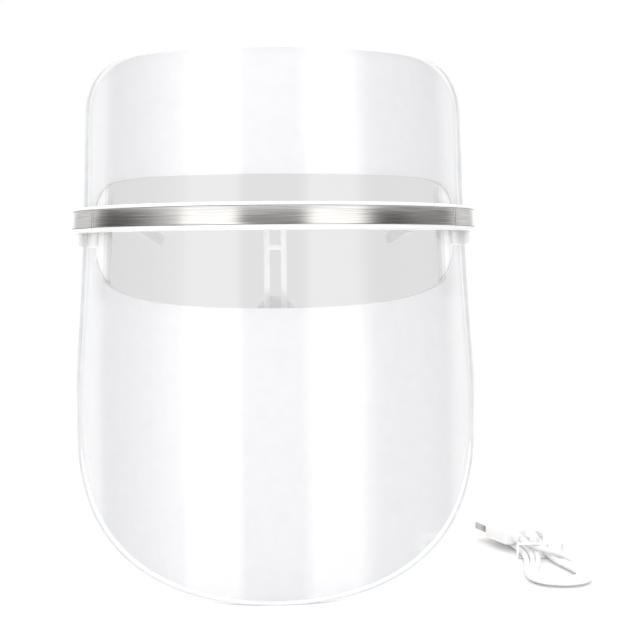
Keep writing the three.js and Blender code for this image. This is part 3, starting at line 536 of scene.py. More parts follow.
@dataclass(frozen=True)
class SheetForm:
    """The bent sheet that most pieces follow: a cone to the cheeks, then a cylinder.

    Places on it are s, round the sheet at brow height; n, outwards from its outer face; and z.
    """

    top: float = 84.0
    bottom: float = -193.5
    radius: float = 113.0
    cone_slope: float = 0.054
    cheek_height: float = -95.0
    wall: float = 2.0
    nose_to_sheet: float = 35.0
    waist_half: float = 135.0
    waist_height: float = -13.0
    waist_flare: float = 16.0
    corner_width: float = 70.0
    corner_height: float = 27.4
    corner_power: float = 1.7
    jaw_half: float = 163.0
    jaw_height: float = -85.5
    chin_power: float = 1.6
    jaw_power: float = 2.2
    jaw_blend: float = 20.0
    window_half: float = 121.3
    window_mid: float = -12.0
    window_rise: float = 32.0
    window_drop: float = 33.9
    window_top_power: float = 6.0
    window_bottom_power: float = 2.5

    @property
    def axis_y(self) -> float:
        """The bend's upright axis, in millimetres behind the nose rest."""
        return self.radius - self.nose_to_sheet

    def radius_at(self, z: float) -> float:
        """The outer face's radius at a height."""
        return self.radius - self.cone_slope * max(z, self.cheek_height)

    def on(self, s: float, n: float, z: float) -> Point:
        """The point at s, n and z, in metres."""
        angle = s / self.radius
        reach = self.radius_at(z) + n
        return (
            reach * math.sin(angle) * MM,
            (self.axis_y - reach * math.cos(angle)) * MM,
            z * MM,
        )

    def flared_half(self, z: float) -> float:
        """Half the width round the sheet, before its corners are cut."""
        return self.waist_half + self.waist_flare * ((z - self.waist_height) / 100) ** 2

    def half(self, z: float) -> float:
        """Half the width round the sheet at a height."""
        above = min(1.0, max(0.0, (z - self.top + self.corner_height) / self.corner_height))
        corner = self.corner_width * (1 - (1 - above**self.corner_power) ** (1 / self.corner_power))
        below = min(1.0, max(0.0, (self.jaw_height - z) / (self.jaw_height - self.bottom)))
        chin = self.jaw_half * (1 - below**self.chin_power) ** (1 / self.jaw_power)
        if chin <= 0:
            return 0.0
        if z > self.jaw_height:
            return self.flared_half(z) - corner
        power = -self.jaw_blend
        return (self.flared_half(z) ** power + chin**power) ** (1 / power)

    def outline_height(self, share: float, end: End, inset: float) -> float:
        """Finds where the outline crosses an upright line.

        Args:
            share: the line's place, as a share of the half width.
            end: which end of the line.
            inset: how far inside the sheet's own outline.

        Returns:
            The height in millimetres.
        """
        way = end.value

        def room(z: float) -> float:
            return (self.half(z + way * inset) - inset) / (self.flared_half(z) - inset) - share

        inside = self.waist_height
        outside = (self.top if end is End.TOP else self.bottom) - way * inset
        if room(outside) >= 0:
            return outside
        for _ in range(40):
            middle = (inside + outside) / 2
            if room(middle) >= 0:
                inside = middle
            else:
                outside = middle
        return inside

    def window_edge(self, s: float, end: End) -> float:
        """The eye window's upper or lower edge at s."""
        across = min(1.0, abs(s) / self.window_half)
        if end is End.TOP:
            power, rise = self.window_top_power, self.window_rise
        else:
            power, rise = self.window_bottom_power, -self.window_drop
        return self.window_mid + rise * (1 - across**power) ** (1 / power)

    def panel(
        self,
        outer: float,
        inner: float,
        inset: float,
        columns: int,
        rows: int,
        ends: Callable[[float, float, float], tuple[float, float]],
    ) -> tuple[list[Point], list[list[int]], int]:
        """A thin closed solid that follows the sheet.

        Args:
            outer: its outer face's n.
            inner: its inner face's n.
            inset: how far inside the sheet's outline it stops.
            columns: faces across.
            rows: faces up.
            ends: gives the heights that it fills at s, where the outline runs from low to high.

        Returns:
            Points, faces and how many of the faces, the first ones, are its broad faces.
        """
        grid: list[Point] = []
        for n in (outer, inner):
            columns_of: list[list[Point]] = []
            for i in range(columns + 1):
                u = math.sin((i / columns - 0.5) * math.pi)
                low, high = ends(
                    u * (self.waist_half - inset),
                    self.outline_height(abs(u), End.BOTTOM, inset),
                    self.outline_height(abs(u), End.TOP, inset),
                )
                heights = [low + (high - low) * j / rows for j in range(rows + 1)]
                columns_of.append([
                    self.on(u * (self.flared_half(z) - inset), n, z) for z in heights])
            grid += [columns_of[i][j] for j in range(rows + 1) for i in range(columns + 1)]
        return (grid, *grid_faces(columns, rows))


def grid_faces(columns: int, rows: int) -> tuple[list[list[int]], int]:
    """Faces of the closed solid between two grids of points.

    Args:
        columns: faces across.
        rows: faces up.

    Returns:
        The faces, the two broad sides first, and how many those are.
    """
    def at(side: int, i: int, j: int) -> int:
        return (side * (rows + 1) + j) * (columns + 1) + i

    broad = []
    for j in range(rows):
        for i in range(columns):
            broad.append([at(0, i, j), at(0, i + 1, j), at(0, i + 1, j + 1), at(0, i, j + 1)])
            broad.append([at(1, i, j), at(1, i, j + 1), at(1, i + 1, j + 1), at(1, i + 1, j)])
    rim = []
    for j in range(rows):
        rim.append([at(0, 0, j), at(0, 0, j + 1), at(1, 0, j + 1), at(1, 0, j)])
        rim.append([
            at(0, columns, j), at(1, columns, j), at(1, columns, j + 1), at(0, columns, j + 1)])
    for i in range(columns):
        rim.append([at(0, i, 0), at(1, i, 0), at(1, i + 1, 0), at(0, i + 1, 0)])
        rim.append([at(0, i, rows), at(0, i + 1, rows), at(1, i + 1, rows), at(1, i, rows)])
    return broad + rim, len(broad)


FORM = SheetForm()


def bent_bar(profile: Outline, start: float, end: float, step: float = 1.5) -> Mesh:
    """Sweeps an (n, z) profile round the sheet, with capped ends.

    Args:
        profile: the closed outline's points.
        start: the first s.
        end: the last s.
        step: the longest face along the sweep, mm.

    Returns:
        Points and faces.
    """
    steps = max(1, math.ceil((end - start) / step))
    places = [start + (end - start) * i / steps for i in range(steps + 1)]
    return loft([[FORM.on(s, n, z) for n, z in profile] for s in places])


def rounded_box(
    low: tuple[float, float], high: tuple[float, float], round_: float, steps: int = 5
) -> list[tuple[float, float]]:
    """A rectangle's outline with round corners.

    Args:
        low: its lower corner.
        high: its upper corner.
        round_: the corners' radius.
        steps: faces round each corner.

    Returns:
        The outline's points.
    """
    corners = [
        (high[0] - round_, low[1] + round_, -90), (high[0] - round_, high[1] - round_, 0),
        (low[0] + round_, high[1] - round_, 90), (low[0] + round_, low[1] + round_, 180),
    ]
    outline = []
    for x, y, start in corners:
        for k in range(steps + 1):
            turn = math.radians(start + 90 * k / steps)
            outline.append((x + round_ * math.cos(turn), y + round_ * math.sin(turn)))
    return outline


def loft(rings: Sequence[Sequence[Sequence[float]]]) -> Mesh:
    """A solid through rings of equal point counts, capped at both ends.

    Args:
        rings: each ring's points.

    Returns:
        Points and faces.
    """
    count = len(rings[0])
    points = [p for ring in rings for p in ring]
    faces = [
        [r * count + k, r * count + (k + 1) % count,
         (r + 1) * count + (k + 1) % count, (r + 1) * count + k]
        for r in range(len(rings) - 1) for k in range(count)
    ]
    last = (len(rings) - 1) * count
    faces.append(list(range(count))[::-1])
    faces.append([last + k for k in range(count)])
    return points, faces


# ---- What repeats round the sheet ----


@dataclass
class RoundTheSheet:
    """Sets copies of one small part round the sheet, by Geometry Nodes.

    Attributes:
        name: the finished piece's name.
        part: the copied part, X round the sheet, Y towards the face, Z up.
        places: each copy's s and z, in millimetres.
        offset: each copy's n.
        finish: the copies' finish.
    """

    name: str
    part: bpy.types.Object
    places: list[tuple[float, float]]
    offset: float
    finish: Finish
    form: SheetForm = FORM

    TREE = "set_round_the_sheet"

    def tree(self) -> bpy.types.NodeTree:
        """Returns the shared tree, made on first use."""
        made = bpy.data.node_groups.get(self.TREE)
        if made is not None:
            return made
        made = bpy.data.node_groups.new(self.TREE, "GeometryNodeTree")
        sockets = [
            ("Places", "NodeSocketGeometry", None), ("Part", "NodeSocketObject", None),
            ("Bend radius", "NodeSocketFloat", 0.113), ("Cone slope", "NodeSocketFloat", 0.054),
            ("Axis distance", "NodeSocketFloat", 0.078), ("Offset", "NodeSocketFloat", 0.0),
            ("Finish", "NodeSocketMaterial", None),
        ]
        for label, kind, default in sockets:
            socket = made.interface.new_socket(label, in_out="INPUT", socket_type=kind)
            if default is not None:
                socket.default_value = default
        made.interface.new_socket("Copies", in_out="OUTPUT", socket_type="NodeSocketGeometry")
        given = add_node(made, "NodeGroupInput").outputs
        place = add_node(made, "GeometryNodeInputPosition")
        parts = add_node(made, "ShaderNodeSeparateXYZ", {0: place.outputs[0]})
        height = parts.outputs[2]
        angle = calculate(made, "DIVIDE", parts.outputs[0], given["Bend radius"])
        lean = calculate(made, "MULTIPLY", height, given["Cone slope"])
        cone = calculate(made, "SUBTRACT", given["Bend radius"], lean)
        reach = calculate(made, "ADD", cone, given["Offset"])
        x = calculate(made, "MULTIPLY", reach, calculate(made, "SINE", angle))
        ahead = calculate(made, "MULTIPLY", reach, calculate(made, "COSINE", angle))
        y = calculate(made, "SUBTRACT", given["Axis distance"], ahead)
        target = add_node(made, "ShaderNodeCombineXYZ", {0: x, 1: y, 2: height})
        turn = add_node(made, "ShaderNodeCombineXYZ", {2: angle})
        kept = add_node(made, "GeometryNodeCaptureAttribute", {0: given["Places"]}, domain="POINT")
        kept.capture_items.new("VECTOR", "Turn")
        made.links.new(turn.outputs[0], kept.inputs["Turn"])
        moved = add_node(made, "GeometryNodeSetPosition", {
            0: kept.outputs[0], "Position": target.outputs[0]})
        part = add_node(made, "GeometryNodeObjectInfo", {"Object": given["Part"]})
        copies = add_node(made, "GeometryNodeInstanceOnPoints", {
            "Points": moved.outputs[0], "Instance": part.outputs["Geometry"],
            "Rotation": kept.outputs["Turn"]})
        real = add_node(made, "GeometryNodeRealizeInstances", {0: copies.outputs[0]})
        dressed = add_node(made, "GeometryNodeSetMaterial", {
            0: real.outputs[0], "Material": given["Finish"]})
        add_node(made, "NodeGroupOutput", {0: dressed.outputs[0]})
        return made

    def build(self) -> bpy.types.Object:
        """Returns the copies as one plain mesh piece, not yet on a body."""
        points = [(s * MM, 0.0, z * MM) for s, z in self.places]
        holder = new_object(self.name + "_places", points, [])
        modifier = holder.modifiers.new("copies", "NODES")
        modifier.node_group = self.tree()
        values = {
            "Part": self.part, "Bend radius": self.form.radius * MM,
            "Cone slope": self.form.cone_slope, "Axis distance": self.form.axis_y * MM,
            "Offset": self.offset * MM, "Finish": self.finish.build(),
        }
        for item in modifier.node_group.interface.items_tree:
            if item.in_out == "INPUT" and item.name in values:
                modifier[item.identifier] = values[item.name]
        holder.update_tag()
        mesh = evaluated_mesh(holder)
        mesh.name = self.name
        made = bpy.data.objects.new(self.name, mesh)
        bpy.context.scene.collection.objects.link(made)
        if not mesh.materials:
            mesh.materials.append(self.finish.build())
        discard(holder)
        discard(self.part)
        return made


def refined(
    node: str, name: str, finish: Finish, body: str, width: float, segments: int = 2
) -> bpy.types.Object:
    """A CAD node's exact shape with its edges rounded, standing for the node.

    Args:
        node: the CAD node.
        name: the new piece's name.
        finish: its material.
        body: the body it rides on.
        width: the edges' round, mm.
        segments: faces across the round.

    Returns:
        The new piece.
    """
    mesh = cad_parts[node].data.copy()
    mesh.name = name
    tidy_mesh(mesh, flatten=True)
    mesh.materials.clear()
    mesh.materials.append(finish.build())
    rough = bpy.data.objects.new(name + "_rough", mesh)
    bpy.context.scene.collection.objects.link(rough)
    mesh.shade_smooth()
    soften(rough, width, segments)
    made_mesh = evaluated_mesh(rough)
    made_mesh.name = name
    made = bpy.data.objects.new(name, made_mesh)
    bpy.context.scene.collection.objects.link(made)
    discard(rough)
    return settle(made, body, [node])


# ---- Sub-assemblies ----


@dataclass
class Visor:
    """The clear sheet, the milky films behind it and the plates at the window's ends."""

    form: SheetForm = FORM
    film_wall: float = 0.9
    film_inset: float = 1.5
    film_clearance: float = 0.5
    bar_top: float = 6.5
    block_bottom: float = -14.8
    plate_edge: float = 103.75  # where the window's end plates begin
    gap: float = 0.3
    columns: int = 160

    def inside_window(self, point: Vector) -> float:
        """How far inside the bare eye window a point lies, in millimetres."""
        x, y, z = point / MM
        s = self.form.radius * math.atan2(x, self.form.axis_y - y)
        return min(
            self.form.window_edge(s, End.TOP) - z, z - self.form.window_edge(s, End.BOTTOM),
            self.plate_edge - abs(s))

    def sheet(self) -> bpy.types.Object:
        """Builds the clear sheet, with a milled edge all round."""
        points, faces, broad = self.form.panel(
            0, -self.form.wall, 0, self.columns, 120, lambda s, low, high: (low, high))
        finishes = [CLEAR_SHEET.build(), SHEET_EDGE.build()]
        made = new_object("clear_sheet", points, faces, finishes)
        window = made.data.attributes.new("window", "FLOAT", "POINT")
        for vertex in made.data.vertices:
            window.data[vertex.index].value = self.inside_window(vertex.co)
        for face in made.data.polygons[broad:]:
            face.material_index = 1
            face.use_smooth = False
        return settle(made, "mask", ["shield"])

    def film(self, end: End) -> bpy.types.Object:
        """Builds the film above or below the eye window.

        Args:
            end: TOP for the forehead, BOTTOM for the cheeks.

        Returns:
            The film.
        """
        outer = -self.form.wall - self.film_clearance

        def forehead(s: float, low: float, high: float) -> tuple[float, float]:
            return max(self.bar_top + self.gap * 1.5, self.form.window_edge(s, End.TOP)), high

        def cheeks(s: float, low: float, high: float) -> tuple[float, float]:
            edge = self.form.window_edge(s, End.BOTTOM)
            return low, min(self.block_bottom - self.gap * 1.5, edge)

        name, ends = ("forehead_film", forehead) if end is End.TOP else ("cheek_film", cheeks)
        points, faces, _ = self.form.panel(
            outer, outer - self.film_wall, self.film_inset, self.columns, 50, ends)
        made = new_object(name + "_fine", points, faces, [MILKY_FILM.build()])
        soften(made, 0.25, 2, 60)
        return settle(made, "mask", [name])

    def build(self) -> None:
        """Builds every piece of the visor."""
        self.sheet()
        self.film(End.TOP)
        self.film(End.BOTTOM)
        for side in ("left", "right"):
            refined(f"side_plate_{side}", f"window_plate_{side}", WHITE_NYLON, "mask",
                    0.45)


@dataclass
class BrowBar:
    """The white bar across the brow, with its three lengths of brushed steel strip."""

    form: SheetForm = FORM
    top: float = 6.5
    bottom: float = -7.4
    inner: float = 0.3
    outer: float = 4.3
    half: float = 108.5
    round_: float = 1.1
    strip_top: float = 4.5
    strip_bottom: float = -4.7
    strip_outer: float = 4.2
    strip_wall: float = 0.6
    gap: float = 0.3
    block_end: float = 153.8
    end_wall: float = 1.6

    def bar_outline(self) -> list[tuple[float, float]]:
        """The bar's section: round outer corners and a groove for the strip."""
        floor = self.strip_outer - self.strip_wall - self.gap
        low, high = self.strip_bottom - self.gap * 0.6, self.strip_top + self.gap * 0.6

        def corner(z: float, start: float) -> list[tuple[float, float]]:
            turns = [math.radians(start + 15 * k) for k in range(7)]
            return [(self.outer - self.round_ + self.round_ * math.cos(turn),
                     z + self.round_ * math.sin(turn)) for turn in turns]

        groove = [(self.outer, low), (floor, low), (floor, high), (self.outer, high)]
        return [(self.inner, self.bottom), *corner(self.bottom + self.round_, -90), *groove,
                *corner(self.top - self.round_, 0), (self.inner, self.top)]

    def bar(self) -> None:
        """Builds the white bar between the end blocks."""
        points, faces = bent_bar(self.bar_outline(), -self.half, self.half)
        made = new_object("brow_bar", points, faces, [GLOSS_WHITE.build()])
        soften(made, 0.18, 2, 50)
        settle(made, "mask", ["front_bar"])

    def strip(self, name: str, node: str, start: float, end: float) -> None:
        """Builds one length of steel strip, its faces mapped in metres for the brushing.

        Args:
            name: the piece's name.
            node: the CAD node it stands for.
            start: its first s.
            end: its last s.
        """
        outline = rounded_box(
            (self.strip_outer - self.strip_wall, self.strip_bottom),
            (self.strip_outer, self.strip_top), 0.22, 3)
        points, faces = bent_bar(outline, start, end, 1.2)
        made = new_object(name, points, faces, [TRIM_STEEL.build()])
        layer = made.data.uv_layers.new(name="strip")
        for loop in made.data.loops:
            x, y, z = made.data.vertices[loop.vertex_index].co
            along = math.atan2(x, self.form.axis_y * MM - y) * self.form.radius * MM
            layer.data[loop.index].uv = (z, along)
        settle(made, "mask", [node])

    def build(self) -> None:
        """Builds the bar and its strips."""
        self.bar()
        self.strip("steel_strip", "trim_strip", -self.half + self.gap, self.half - self.gap)
        start, end = self.half + self.gap, self.block_end - self.end_wall - self.gap
        self.strip("steel_end_left", "trim_end_left", start, end)
        self.strip("steel_end_right", "trim_end_right", -end, -start)


@dataclass
class LampCarrier:
    """The channel behind the sheet with its lamps, boards, cells and clamp screws."""

    form: SheetForm = FORM
    inner: float = -12.0
    lamp_count: int = 12
    lamp_pitch: float = 18.0
    lamp_side: float = 2.6
    lamp_middle: float = -8.8
    lamp_heights: tuple[float, float] = (6.5, -6.1)
    package_profile: Outline = ((0.0, 0.94), (0.1, 1.0), (0.5, 1.0), (0.6, 0.94))  # height, share
    package_round: float = 0.25
    lens_profile: Outline = ((0.3, 0.78), (0.66, 0.78), (0.69, 0.6), (0.7, 0.3))
    lens_sides: int = 12
    board_half: float = 2.1
    board_wall: float = 0.8
    screw_places: tuple[float, ...] = (28.0, 72.0, 114.3)
    screw_head: float = 1.9
    screw_profile: Outline = ((0.0, 1.0), (0.5, 1.0), (0.95, 0.86), (1.22, 0.6), (1.3, 0.3))
    recess_depth: float = 0.75
    recess_length: float = 2.1
    recess_width: float = 0.42
    nose_screw_place: tuple[float, float] = (6.2, 2.7)
    bracket_wall: float = 2.0
    gap: float = 0.3

    def lamp(self, way: int, lens: bool) -> bpy.types.Object:
        """One surface-mounted lamp, or its lens.

        Args:
            way: 1 to shine up, -1 to shine down.
            lens: the amber lens rather than the white package.

        Returns:
            A helper object for RoundTheSheet.
        """
        rings = []
        for height, share in self.lens_profile if lens else self.package_profile:
            reach = self.lamp_side / 2 * share
            if lens:
                turns = [k * math.tau / self.lens_sides for k in range(self.lens_sides)]
                ring = [(reach * math.cos(turn), reach * math.sin(turn)) for turn in turns]
            else:
                ring = rounded_box((-reach, -reach), (reach, reach), self.package_round, 2)
            rings.append([(x * MM, y * MM, way * height * MM) for x, y in ring])
        points, faces = loft(rings)
        return new_object("lamp_part", points, faces, smooth=lens)

    def lamp_row(self, way: int, node: str) -> None:
        """Builds one lamp board with its row of lamps.

        Args:
            way: 1 for the upper row, -1 for the lower.
            node: the CAD node that the board and its lamps stand for.
        """
        label = "upper" if way > 0 else "lower"
        base = self.lamp_heights[0] if way > 0 else self.lamp_heights[1]
        places = [((i - (self.lamp_count - 1) / 2) * self.lamp_pitch, base)
                  for i in range(self.lamp_count)]
        reach = abs(places[0][0]) + 4
        low, high = sorted((base, base - way * self.board_wall))
        inner, outer = self.lamp_middle - self.board_half, self.lamp_middle + self.board_half
        outline = rounded_box((inner, low), (outer, high), 0.12, 2)
        points, faces = bent_bar(outline, -reach, reach, 3)
        finishes = [WHITE_BOARD.build()]
        board = new_object(f"lamp_board_{label}", points, faces, finishes, smooth=False)
        settle(board, "mask", [node])
        for lens, finish in ((False, LAMP_PACKAGE), (True, LAMP_PHOSPHOR)):
            kind = "lenses" if lens else "packages"
            row = RoundTheSheet(
                f"lamp_{kind}_{label}", self.lamp(way, lens), places, self.lamp_middle, finish)
            settle(row.build(), "mask", [node])

    def screw(self) -> bpy.types.Object:
        """A pan head with a cross recess, seen from the face's side."""
        sides = 20
        rings = []
        for y, share in self.screw_profile:
            reach = self.screw_head * share
            rings.append([
                (reach * math.cos(k * math.tau / sides) * MM, y * MM,
                 reach * math.sin(k * math.tau / sides) * MM) for k in range(sides)])
        head = new_object("screw_part", *loft(rings))
        top = self.screw_profile[-1][0]
        long, short = self.recess_length / 2, self.recess_width / 2
        for wide, high in ((long, short), (short, long)):
            cutter = new_object("recess", *loft([
                [(x * wide * MM, y * MM, z * high * MM)
                 for x, z in ((1, 1), (-1, 1), (-1, -1), (1, -1))]
                for y in (top - self.recess_depth, top + 1)]))
            combine(head, cutter, "DIFFERENCE")
        return head

    def screws(self) -> None:
        """Builds the heads of the clamp screws and of the nose bracket's screws."""
        places = [(side * s, 0.0) for s in self.screw_places for side in (1, -1)]
        nodes = [f"clamp_screw_{place}_{side}"
                 for place in ("28", "72", "end") for side in ("left", "right")]
        row = RoundTheSheet(
            "clamp_screw_heads", self.screw(), places, self.inner - self.gap, SCREW_STEEL)
        settle(row.build(), "mask", nodes)
        s, z = self.nose_screw_place
        places = [(side * s, z) for side in (1, -1)]
        nodes = ["nose_screw_left", "nose_screw_right"]
        offset = self.inner - 3 * self.gap - self.bracket_wall
        row = RoundTheSheet("nose_screw_heads", self.screw(), places, offset, SCREW_STEEL)
        settle(row.build(), "mask", nodes)

    def build(self) -> None:
        """Builds the carrier and all it holds."""
        refined("lamp_carrier", "carrier_channel", MATT_WHITE, "mask", 0.3)
        self.lamp_row(1, "lamp_strip_upper")
        self.lamp_row(-1, "lamp_strip_lower")
        self.screws()
        refined("control_board", "main_board", GREEN_BOARD, "mask", 0.08)
        for side in ("left", "right"):
            refined(f"battery_cell_{side}", f"cell_{side}", CELL_FOIL, "mask", 0.6, 3)


@dataclass
class EndBlocks:
    """The blocks at the bar's ends, with the hinge pins, the port and the button."""

    def build(self) -> None:
        """Builds both blocks and what they hold."""
        for side in ("left", "right"):
            refined(f"end_block_{side}", f"block_{side}", GLOSS_WHITE, "mask",
                    0.5, 3)
            refined(f"hinge_pin_{side}", f"pin_{side}", SCREW_STEEL, "mask", 0.15)
        refined("port_board", "charge_board", GREEN_BOARD, "mask", 0.08)
        refined("usb_socket", "charge_socket", WARM_REFLECTION_STEEL, "mask", 0.12)
        refined("power_button", "button_cap", MATT_WHITE, "power_button", 0.3, 3)


@dataclass
class Temple:
    """One folding temple with its knuckle and its silicone sleeve."""

    side: int  # 1 on the wearer's left
    form: SheetForm = FORM
    hinge_s: float = 150.5
    hinge_n: float = -5.5
    length: float = 103.0
    thickness: float = 3.6
    height: float = 8.0
    start_angle: float = 8.0
    end_angle: float = 27.0
    hook_start: float = 60.0
    hook_drop: float = 11.5
    hook_power: float = 1.6
    sleeve_start: float = 66.0
    sleeve_thickness: float = 5.2
    sleeve_height: float = 9.4
    knuckle_radius: float = 3.6
    knuckle_height: float = 8.8
    bore: float = 1.2
    gap: float = 0.3
    arm_steps: int = 26
    arm_waist: float = 0.06  # how much slimmer the arm is halfway
    tip_length: float = 5.0
    sleeve_steps: int = 22
    # The sleeve's mouth, as lengths from it and shares of the sleeve's size.
    lip: Outline = ((0.0, 0.93), (0.25, 1.0), (1.6, 1.03), (2.4, 1.0), (2.9, 0.96), (3.6, 0.97))

    @property
    def word(self) -> str:
        """The side's name."""
        return "left" if self.side > 0 else "right"

    def along(self, length: float) -> tuple[Vector, Vector, Vector]:
        """The middle line at a length from the hinge.

        Args:
            length: in millimetres.

        Returns:
            The point in metres, and the directions across and up.
        """
        hinge = Vector(self.form.on(self.hinge_s, self.hinge_n, 0)) / MM
        start = math.radians(self.start_angle)
        turn = math.radians(self.end_angle - self.start_angle) / self.length
        heading = start + turn * length
        x = hinge.x - (math.cos(start) - math.cos(heading)) / turn
        y = hinge.y + (math.sin(heading) - math.sin(start)) / turn
        share = max(0.0, length - self.hook_start) / (self.length - self.hook_start)
        z = -self.hook_drop * share**self.hook_power
        slope = (-self.hook_power * self.hook_drop * share ** (self.hook_power - 1)
                 / (self.length - self.hook_start))
        forward = Vector((-math.sin(heading), math.cos(heading), slope)).normalized()
        across = Vector((math.cos(heading), math.sin(heading), 0))
        return Vector((x, y, z)) * MM, across, across.cross(forward)

    def ring(self, length: float, thickness: float, height: float, round_: float) -> list[Vector]:
        """A rounded rectangle across the temple, mirrored to its side."""
        point, across, up = self.along(length)
        outline = rounded_box(
            (-thickness / 2, -height / 2), (thickness / 2, height / 2),
            min(thickness, height) * round_, 6)
        ring = [point + across * (a * MM) + up * (b * MM) for a, b in outline]
        return [Vector((v.x * self.side, v.y, v.z)) for v in ring]

    def arm(self) -> None:
        """Builds the arm, its knuckle bored for the pin."""
        steps = self.arm_steps
        rings = []
        for i in range(steps + 1):
            length = 1 + (self.sleeve_start - self.gap - 1) * i / steps
            taper = 1 - self.arm_waist * math.sin(math.pi * i / steps)
            rings.append(self.ring(length, self.thickness * taper, self.height * taper, 0.44))
        arm = new_object("arm_rough", *loft(rings))
        hinge = Vector(self.form.on(self.hinge_s, self.hinge_n, 0))
        hinge.x *= self.side
        knuckle = self.drum(hinge, self.knuckle_radius, self.knuckle_height, 40)
        bore = self.drum(hinge, self.bore, self.knuckle_height + 2, 24)
        combine(arm, knuckle, "UNION")
        combine(arm, bore, "DIFFERENCE")
        arm.data.materials.clear()
        arm.data.materials.append(GLOSS_WHITE.build())
        arm.data.shade_smooth()
        soften(arm, 0.35, 3, 40)
        arm.name = f"temple_arm_{self.word}"
        apply_modifiers(arm)
        settle(arm, f"temple_{self.word}", [f"temple_{self.word}"])

    @staticmethod
    def drum(middle: Vector, radius: float, height: float, sides: int) -> bpy.types.Object:
        """An upright cylinder as a helper object."""
        rings = [[
            (middle.x + radius * MM * math.cos(k * math.tau / sides),
             middle.y + radius * MM * math.sin(k * math.tau / sides),
             middle.z + z * height * MM) for k in range(sides)] for z in (-0.5, 0.5)]
        return new_object("drum", *loft(rings))

    def sleeve(self) -> None:
        """Builds the soft sleeve, with a lip at its mouth and a rounded tip."""
        rings = []

        def add_ring(length: float, share: float, round_: float) -> None:
            rings.append(self.ring(length, self.sleeve_thickness * share,
                                   self.sleeve_height * share, round_))

        for ahead, swell in self.lip:
            add_ring(self.sleeve_start + ahead, swell, 0.45)
        first = self.sleeve_start + self.lip[-1][0]
        last = self.length - self.tip_length
        for i in range(1, self.sleeve_steps + 1):
            add_ring(first + (last - first) * i / self.sleeve_steps, 1.0, 0.46)
        for k in range(1, 9):
            turn = math.radians(90 * k / 8.4)
            add_ring(last + self.tip_length * math.sin(turn), math.cos(turn), 0.46)
        made = new_object(f"ear_sleeve_{self.word}", *loft(rings), [SLEEVE_SILICONE.build()])
        settle(made, f"temple_{self.word}", [f"temple_sleeve_{self.word}"])

    def build(self) -> None:
        """Builds the temple."""
        self.arm()
        self.sleeve()


@dataclass
class NoseRest:
    """The H-shaped bracket below the bar and the soft pad that slides on it."""

    def build(self) -> None:
        """Builds the bracket, the carrier and the pad."""
        refined("nose_bracket", "nose_rails", WHITE_NYLON, "mask", 0.4, 3)
        body = "nose_rest"
        refined("nose_pad_carrier", "pad_slider", GLOSS_WHITE, body, 0.5, 3)
        refined("nose_pad", "nose_saddle", PAD_SILICONE, body, 0.4, 2)


